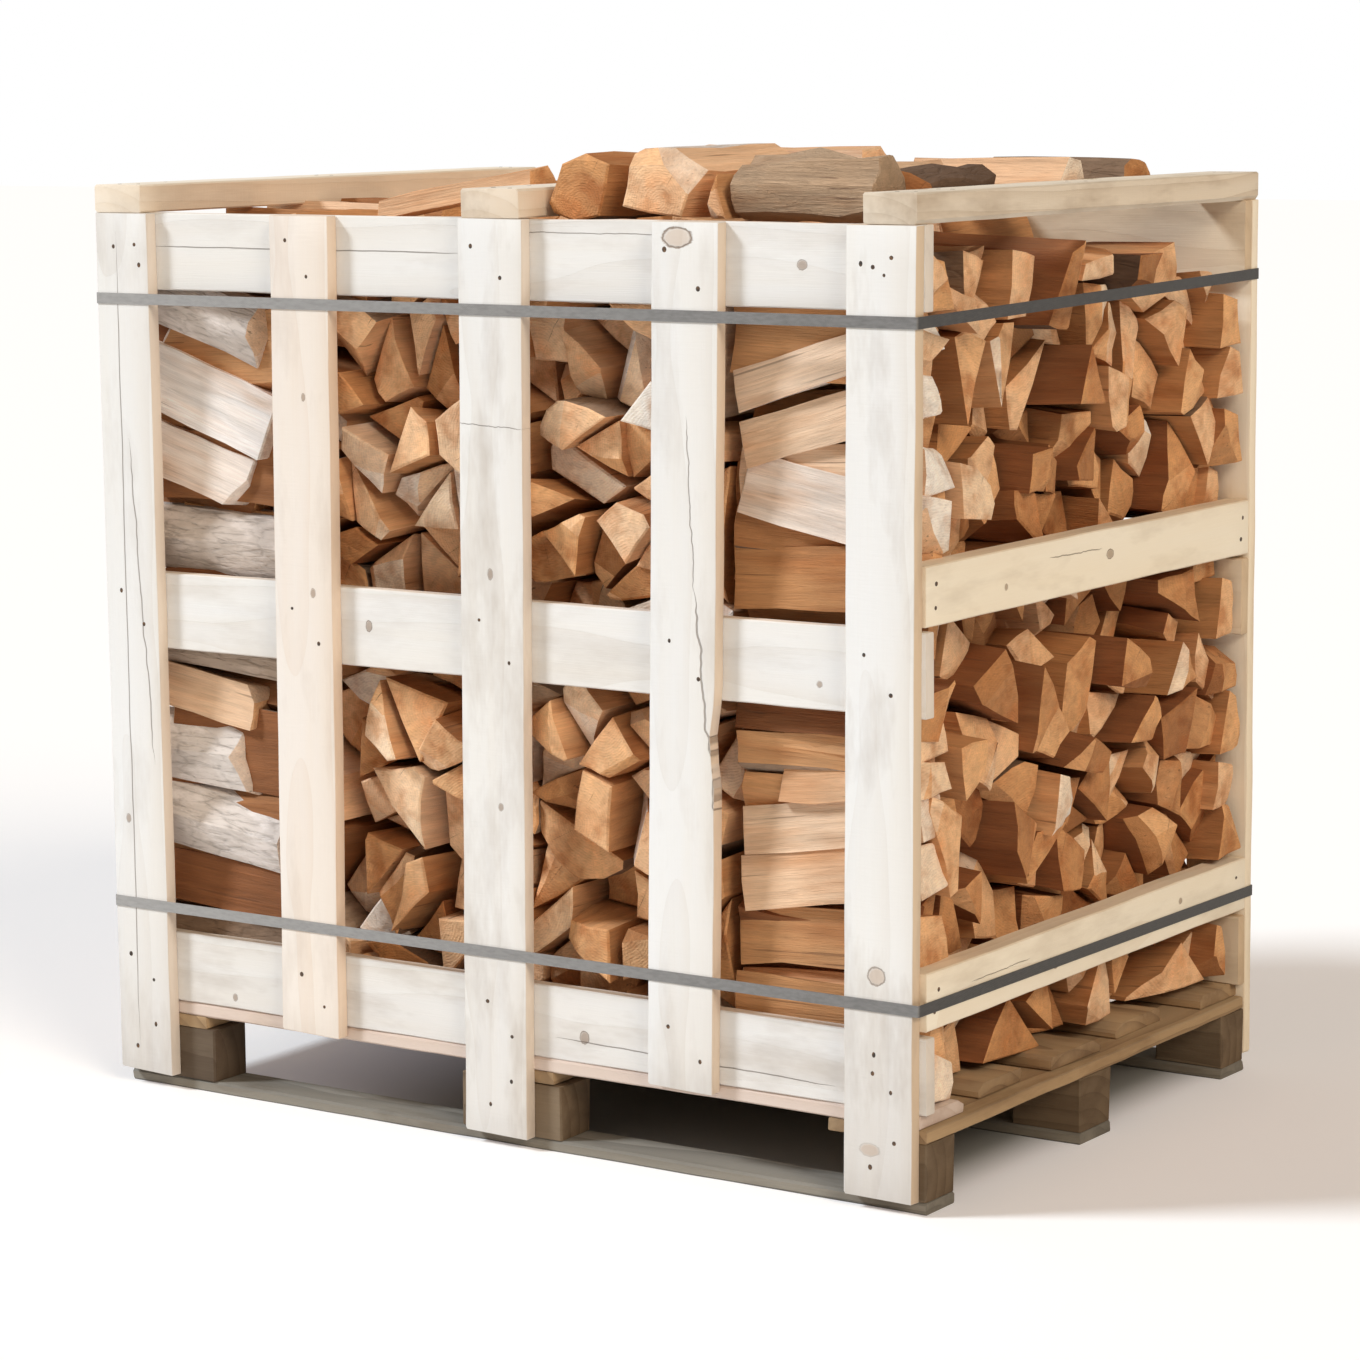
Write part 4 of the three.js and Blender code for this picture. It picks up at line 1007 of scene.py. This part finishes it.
# Finish of each front board: knots as x, z, half width, half height, rim; cracks as x, z, length, turn, wander, width.
frontBoards = {
    "front_slat_1": dict(
        bleached, cracks=((-0.567, 1.10, 1.05, 90, 0.006, 0.0007), (-0.556, 0.84, 0.42, 86, 0.012, 0.0008)),
        knots=((-0.575, 0.35, 0.004, 0.006, 0.5),),
    ),
    "front_slat_2": dict(peach, knots=((-0.262, 0.66, 0.004, 0.006, 0.5), (-0.27, 0.90, 0.003, 0.005, 0.6))),
    "front_slat_3": dict(
        bleached, grime=0.5, knots=((0.02, 0.42, 0.004, 0.005, 0.4), (0.01, 0.70, 0.004, 0.007, 0.5)),
        cracks=((-0.037, 0.878, 0.098, 2, 0.005, 0.0004),),
    ),
    "front_slat_4": dict(
        bleached, knots=((0.283, 1.102, 0.021, 0.012, 0.9),),
        cracks=((0.300, 0.70, 0.27, 83.5, 0.02, 0.0012), (0.292, 0.90, 0.21, 87, 0.01, 0.0006)), flank=0.7,
    ),
    # slat 5 gets the most painted shade near the floor
    "front_slat_5": dict(
        bleached, grime=0.5, flank=0.95, foot=0.9, knots=((0.545, 0.275, 0.012, 0.011, 0.7), (0.535, 0.072, 0.014, 0.008, 0.25)),
    ),
    "front_board_low": dict(
        bleached, grime=0.45, knots=((0.125, 0.147, 0.007, 0.008, 0.7), (-0.42, 0.13, 0.004, 0.005, 0.5)),
        cracks=((0.08, 0.142, 0.40, 1, 0.004, 0.0006),),
    ),
    "front_board_middle": dict(
        bleached, knots=((-0.19, 0.622, 0.005, 0.007, 0.8), (0.46, 0.60, 0.004, 0.004, 0.4)),
    ),
    "front_board_top": dict(
        bleached, cracks=((-0.53, 1.078, 0.50, 0, 0.003, 0.0006), (0.02, 1.104, 0.24, 0, 0.004, 0.0004)),
        knots=((0.44, 1.073, 0.007, 0.006, 0.6),),
    ),
}
for node, finish in frontBoards.items():
    along = "z" if "slat" in node else "x"
    buildBoard(node, along, makeBoardWood(node.replace("_", " "), **finish))
print("front boards ready")

sideFinish = makeBoardWood("fresh sawn board", **fresh)
rightRails = {
    "low": dict(
        fresh, knots=((-0.10, 0.236, 0.007, 0.006, 0.7), (0.22, 0.255, 0.005, 0.004, 0.5)),
        cracks=((-0.30, 0.252, 0.14, -1, 0.004, 0.0004),),
    ),
    "middle": dict(
        fresh, knots=((0.03, 0.712, 0.009, 0.006, 0.8), (-0.22, 0.70, 0.004, 0.004, 0.5)),
        cracks=((-0.12, 0.722, 0.13, 0.5, 0.005, 0.0005),),
    ),
}
plainBleached = makeBoardWood("bleached sawn board", **bleached)
# The back boards: their own tan, made darker as painted shade for their shadowed inside.
tanAndShadeFinish = makeBoardWood("tanned and shaded sawn board", (0.80, 0.69, 0.54), (0.58, 0.43, 0.29), 0.55, grime=0.5)
draw = makeRandom(4401)
for number in range(1, 6):
    finish = sideFinish if number in (1, 5) else plainBleached if number == 3 else tanAndShadeFinish
    buildBoard(f"back_slat_{number}", "z", finish, draw() * 0.6)
for level in ("low", "middle", "top"):
    buildBoard(f"back_board_{level}", "x", tanAndShadeFinish, draw() * 0.6)
for level, finish in rightRails.items():
    buildBoard(f"left_rail_{level}", "y", sideFinish, draw() * 0.4)
    railFinish = makeBoardWood(f"right rail {level}", onSide=True, **finish)
    buildBoard(f"right_rail_{level}", "y", railFinish, draw() * 0.2)

# The battens have lain in the weather: pale and greyish, the right one the most.
battenFinishes = {
    "left": makeBoardWood("pale batten", (0.97, 0.90, 0.80), (0.76, 0.62, 0.47), 0.5, grime=0.25, flank=0.2, endWear=0.15),
    "centre": makeBoardWood("torn batten", (0.90, 0.82, 0.72), (0.68, 0.54, 0.40), 0.6, grime=0.5, flank=0.25, endWear=0.15),
    "right": makeBoardWood("grey batten", (0.84, 0.76, 0.65), (0.56, 0.45, 0.34), 0.7, grime=0.6, flank=0.2, endWear=0.15),
}
for place, finish in battenFinishes.items():
    buildBoard(f"batten_{place}", "y", finish, draw() * 0.4, 1.5)

deckFinish = makeBoardWood("rough deck board", (0.56, 0.41, 0.25), (0.21, 0.135, 0.08), 0.9, grime=0.75, flank=0.3)
newerDeckFinish = makeBoardWood("newer deck board", (0.78, 0.67, 0.61), (0.50, 0.36, 0.29), 0.6, grime=0.5, flank=0.1)
blockFinish = makeBoardWood("pallet block", (0.26, 0.19, 0.125), (0.10, 0.066, 0.04), 0.9, grime=0.75, flank=0.2)
footFinish = makeBoardWood("dirty bottom board", (0.34, 0.32, 0.285), (0.15, 0.138, 0.12), 0.9, grime=0.8, flank=0.2)
# The left blocks get a darker copy of the block finish: painted shade.
shadedBlockFinish = makeBoardWood("shaded pallet block", (0.17, 0.125, 0.085), (0.07, 0.045, 0.03), 0.9, grime=0.75, flank=0.2)
for number in range(1, 6):
    finish = newerDeckFinish if number == 1 else deckFinish
    buildBoard(f"deck_board_{number}", "x", finish, draw() * 0.8, 2.4)
for row in ("front", "middle", "back"):
    buildBoard(f"bottom_board_{row}", "x", footFinish, draw() * 0.8, 2.0)
    for column in ("left", "centre", "right"):
        # the left column takes the painted shade
        finish = shadedBlockFinish if column == "left" else blockFinish
        buildBoard(f"block_{column}_{row}", "x", finish, draw() * 0.9, 1.8)
for column in ("left", "centre", "right"):
    buildBoard(f"cross_board_{column}", "y", deckFinish, draw() * 0.6, 2.0)
print("boards and pallet ready")


# Nails: small dark heads driven a little below the boards, two or more at each crossing.
nails = {
    "radius": 0.0023, "spread": 0.0007, "depth": 0.0014, "proud": 0.0002, "segments": 8,
    "usual": ((-0.2, 0.2), (0.2, -0.22)),
    "slat_1_top": ((-0.14, 0.0), (0.22, 0.16), (0.34, -0.14)),
    "slat_5_top": ((-0.18, 0.02), (-0.04, 0.07), (0.08, -0.02), (0.16, 0.1)),
    "slat_5_low": ((-0.12, 0.3), (-0.1, 0.05), (0.16, -0.2)),
    "footHeights": (0.052, 0.084),
}
facings = {
    "-y": Matrix.Rotation(math.radians(90), 4, "X"), "+y": Matrix.Rotation(math.radians(-90), 4, "X"),
    "+x": Matrix.Rotation(math.radians(90), 4, "Y"), "-x": Matrix.Rotation(math.radians(-90), 4, "Y"),
    "+z": Matrix.Identity(4),
}


def driveNail(mesh, place, facing, draw):
    radius = nails["radius"] + nails["spread"] * draw()
    turned = Matrix.Translation(place) @ facings[facing] @ Matrix.Diagonal((1 + 0.3 * draw(), 1 + 0.5 * draw(), 1, 1))
    bmesh.ops.create_cone(
        mesh, cap_ends=True, segments=nails["segments"], radius1=radius, radius2=radius * 0.8, depth=nails["depth"], matrix=turned,
    )


def buildNails():
    draw = makeRandom(7177)
    mesh = bmesh.new()
    sink = nails["depth"] / 2 - nails["proud"]
    for face, facing in (("front", "-y"), ("back", "+y")):
        for number in range(1, 6):
            low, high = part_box(f"{face}_slat_{number}")
            y = low.y + sink if face == "front" else high.y - sink
            for level in ("low", "middle", "top"):
                spots = nails.get(f"slat_{number}_{level}", nails["usual"])
                boardLow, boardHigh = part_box(f"{face}_board_{level}")
                for across, up in spots:
                    x = (low.x + high.x) / 2 + (across + 0.1 * (draw() - 0.5)) * (high.x - low.x)
                    z = (boardLow.z + boardHigh.z) / 2 + (up + 0.14 * (draw() - 0.5)) * (boardHigh.z - boardLow.z)
                    driveNail(mesh, (x, y, z), facing, draw)
            if number % 2:
                for step, z in enumerate(nails["footHeights"]):
                    driveNail(mesh, ((low.x + high.x) / 2 + (0.018 if step else -0.014), y, z), facing, draw)
    for side, facing in (("left", "-x"), ("right", "+x")):
        for level in ("low", "middle"):
            low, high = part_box(f"{side}_rail_{level}")
            x = high.x - sink if side == "right" else low.x + sink
            for y in (low.y + 0.022, high.y - 0.022):
                for z in (low.z + 0.02, high.z - 0.022):
                    driveNail(mesh, (x, y + 0.012 * (draw() - 0.5), z), facing, draw)
    for place in ("left", "centre", "right"):
        low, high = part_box(f"batten_{place}")
        for y in (low.y + 0.03, low.y + 0.11, (low.y + high.y) / 2, high.y - 0.03):
            for x in (low.x + 0.024, high.x - 0.026):
                driveNail(mesh, (x, y + 0.03 * (draw() - 0.5), high.z - sink), "+z", draw)
    data = bpy.data.meshes.new("nail_heads")
    mesh.to_mesh(data)
    mesh.free()
    material, tree, surface = newMaterial("dull nail steel")
    place = addNode(tree, "ShaderNodeTexCoord").outputs["Object"]
    rust = speckle(tree, place, (260, 260, 260), 3.0, 0.6)
    colour = blendColours(tree, remap(tree, rust, 0.4, 0.65), (0.075, 0.065, 0.06, 1), (0.20, 0.11, 0.06, 1))
    dress(tree, surface, colour, remap(tree, rust, 0.3, 0.7, 0.45, 0.7), rust, 0.0002)
    tree.links.new(remap(tree, rust, 0.4, 0.65, 0.7, 0.1), surface.inputs["Metallic"])
    data.materials.append(material)
    piece = bpy.data.objects.new("nail_heads", data)
    bpy.context.scene.collection.objects.link(piece)
    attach(piece, "root")


buildNails()
print("nails ready")


# Straps: dark plastic with a pressed pattern of fine slanting ribs, with painted light along the front that fades
# towards the right.
def makeStrapPlastic():
    material, tree, surface = newMaterial("strap plastic")
    place = addNode(tree, "ShaderNodeTexCoord").outputs["Object"]
    parts = addNode(tree, "ShaderNodeSeparateXYZ", {0: place}).outputs
    ribs = addNode(
        tree, "ShaderNodeTexWave", {"Vector": place, "Scale": 240.0, "Distortion": 0.3}, bands_direction="DIAGONAL",
    ).outputs["Fac"]
    scuff = speckle(tree, place, (90, 90, 300), 4.0, 0.6)
    colour = blendColours(tree, remap(tree, scuff, 0.4, 0.75), (0.05, 0.048, 0.048, 1), (0.10, 0.096, 0.096, 1))
    # painted light on the front face, strongest at the left and fading to the right, mottled by the scuffs
    onFront = remap(tree, parts[1], -0.4188, -0.416, 1.0, 0.0)
    paintedFrontLight = math2(tree, "MULTIPLY", onFront, remap(tree, parts[0], -0.6, 0.45, 1.0, 0.45))
    paintedFrontLight = math2(tree, "MULTIPLY", paintedFrontLight, remap(tree, scuff, 0.2, 0.6, 0.75, 1.0))
    colour = blendColours(tree, paintedFrontLight, colour, (0.40, 0.39, 0.385, 1))
    dress(tree, surface, colour, remap(tree, scuff, 0.3, 0.7, 0.32, 0.55), ribs, 0.0002)
    surface.inputs["Specular IOR Level"].default_value = 0.5
    return material


strapPlastic = makeStrapPlastic()
for node in ("strap_upper", "strap_lower"):
    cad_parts[node].data.materials.clear()
    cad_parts[node].data.materials.append(strapPlastic)
print("straps ready")


# Studio: pale floor with a painted shadow under the pallet, soft light from the front left and a camera at the
# picture's angle.
studio = {
    "floorSize": 60.0, "floorColour": (0.87, 0.87, 0.865), "floorGlow": (0.185, 0.17, 0.18), "underShadowColour": (0.35, 0.36, 0.36),
    "worldStrength": 0.26, "worldColour": (1.0, 0.88, 0.74),
    "keyTurn": (50, 0, -54), "keyStrength": 2.75, "keyAngle": 12, "keyColour": (0.85, 0.93, 1.0),
    "fillTurn": (56, 0, 65), "fillStrength": 1.45, "fillAngle": 24, "fillColour": (1.0, 0.875, 0.71),
}
view = {"place": (2.9035, -4.2644, 1.2979), "yaw": -34.287, "pitch": 8.601, "roll": -0.612, "lens": 108.0}


# Painted shadow on the floor under the pallet: 1 in its dark middle, 0 outside its edges.
def makeShadeUnder(tree):
    place = addNode(tree, "ShaderNodeTexCoord").outputs["Object"]
    x, y = addNode(tree, "ShaderNodeSeparateXYZ", {0: place}).outputs[:2]
    across = remap(tree, math2(tree, "ABSOLUTE", y), 0.41, 0.35, smooth=True)
    along = math2(tree, "MULTIPLY", remap(tree, x, -0.56, -0.08, smooth=True), remap(tree, x, 0.60, 0.50, smooth=True))
    return math2(tree, "MULTIPLY", across, along)


def buildStudio():
    mesh = bmesh.new()
    bmesh.ops.create_grid(mesh, x_segments=4, y_segments=4, size=studio["floorSize"] / 2)
    data = bpy.data.meshes.new("floor")
    mesh.to_mesh(data)
    mesh.free()
    floor = bpy.data.objects.new("floor", data)
    bpy.context.scene.collection.objects.link(floor)
    material, tree, surface = newMaterial("pale floor")
    # painted shadow: the floor colour is darkened under the pallet
    under = makeShadeUnder(tree)
    shadowedFloorColour = blendColours(tree, under, (*studio["floorColour"], 1), (*studio["underShadowColour"], 1))
    tree.links.new(shadowedFloorColour, surface.inputs["Base Color"])
    surface.inputs["Roughness"].default_value = 0.9
    surface.inputs["Emission Color"].default_value = (*studio["floorGlow"], 1)
    seen = addNode(tree, "ShaderNodeLightPath").outputs["Is Camera Ray"]  # pale to the eye, quiet on the boards
    # the glow is left out under the pallet, so the painted shadow stays dark there
    glow = math2(tree, "MULTIPLY", seen, math2(tree, "SUBTRACT", 1.0, under))
    tree.links.new(glow, surface.inputs["Emission Strength"])
    data.materials.append(material)
    world = bpy.data.worlds.new("studio")
    bpy.context.scene.world = world
    world.use_nodes = True
    background = world.node_tree.nodes["Background"]
    seen = addNode(world.node_tree, "ShaderNodeLightPath").outputs["Is Camera Ray"]  # the wall behind stays white
    colour = blendColours(world.node_tree, seen, (*studio["worldColour"], 1), (1, 1, 1, 1))
    world.node_tree.links.new(colour, background.inputs["Color"])
    strength = remap(world.node_tree, seen, 0, 1, studio["worldStrength"], 1.0)
    world.node_tree.links.new(strength, background.inputs["Strength"])
    for name in ("key", "fill"):
        light = bpy.data.lights.new(name, "SUN")
        light.energy = studio[name + "Strength"]
        light.color = studio[name + "Colour"]
        light.angle = math.radians(studio[name + "Angle"])
        lamp = bpy.data.objects.new(name, light)
        lamp.rotation_euler = [math.radians(angle) for angle in studio[name + "Turn"]]
        bpy.context.scene.collection.objects.link(lamp)
    bpy.context.scene.view_settings.view_transform = "Standard"


def buildCamera():
    yaw, pitch, roll = (math.radians(view[key]) for key in ("yaw", "pitch", "roll"))
    forward = Vector((math.sin(yaw) * math.cos(pitch), math.cos(yaw) * math.cos(pitch), -math.sin(pitch)))
    level = Vector((math.cos(yaw), -math.sin(yaw), 0))
    rise = level.cross(forward)
    right = math.cos(roll) * level + math.sin(roll) * rise
    up = -math.sin(roll) * level + math.cos(roll) * rise
    lens = bpy.data.cameras.new("camera")
    lens.lens = view["lens"]
    lens.sensor_width = 36.0
    camera = bpy.data.objects.new("camera", lens)
    camera.matrix_world = Matrix((right, up, -forward)).transposed().to_4x4()
    camera.location = view["place"]
    bpy.context.scene.collection.objects.link(camera)
    bpy.context.scene.camera = camera


buildStudio()
buildCamera()
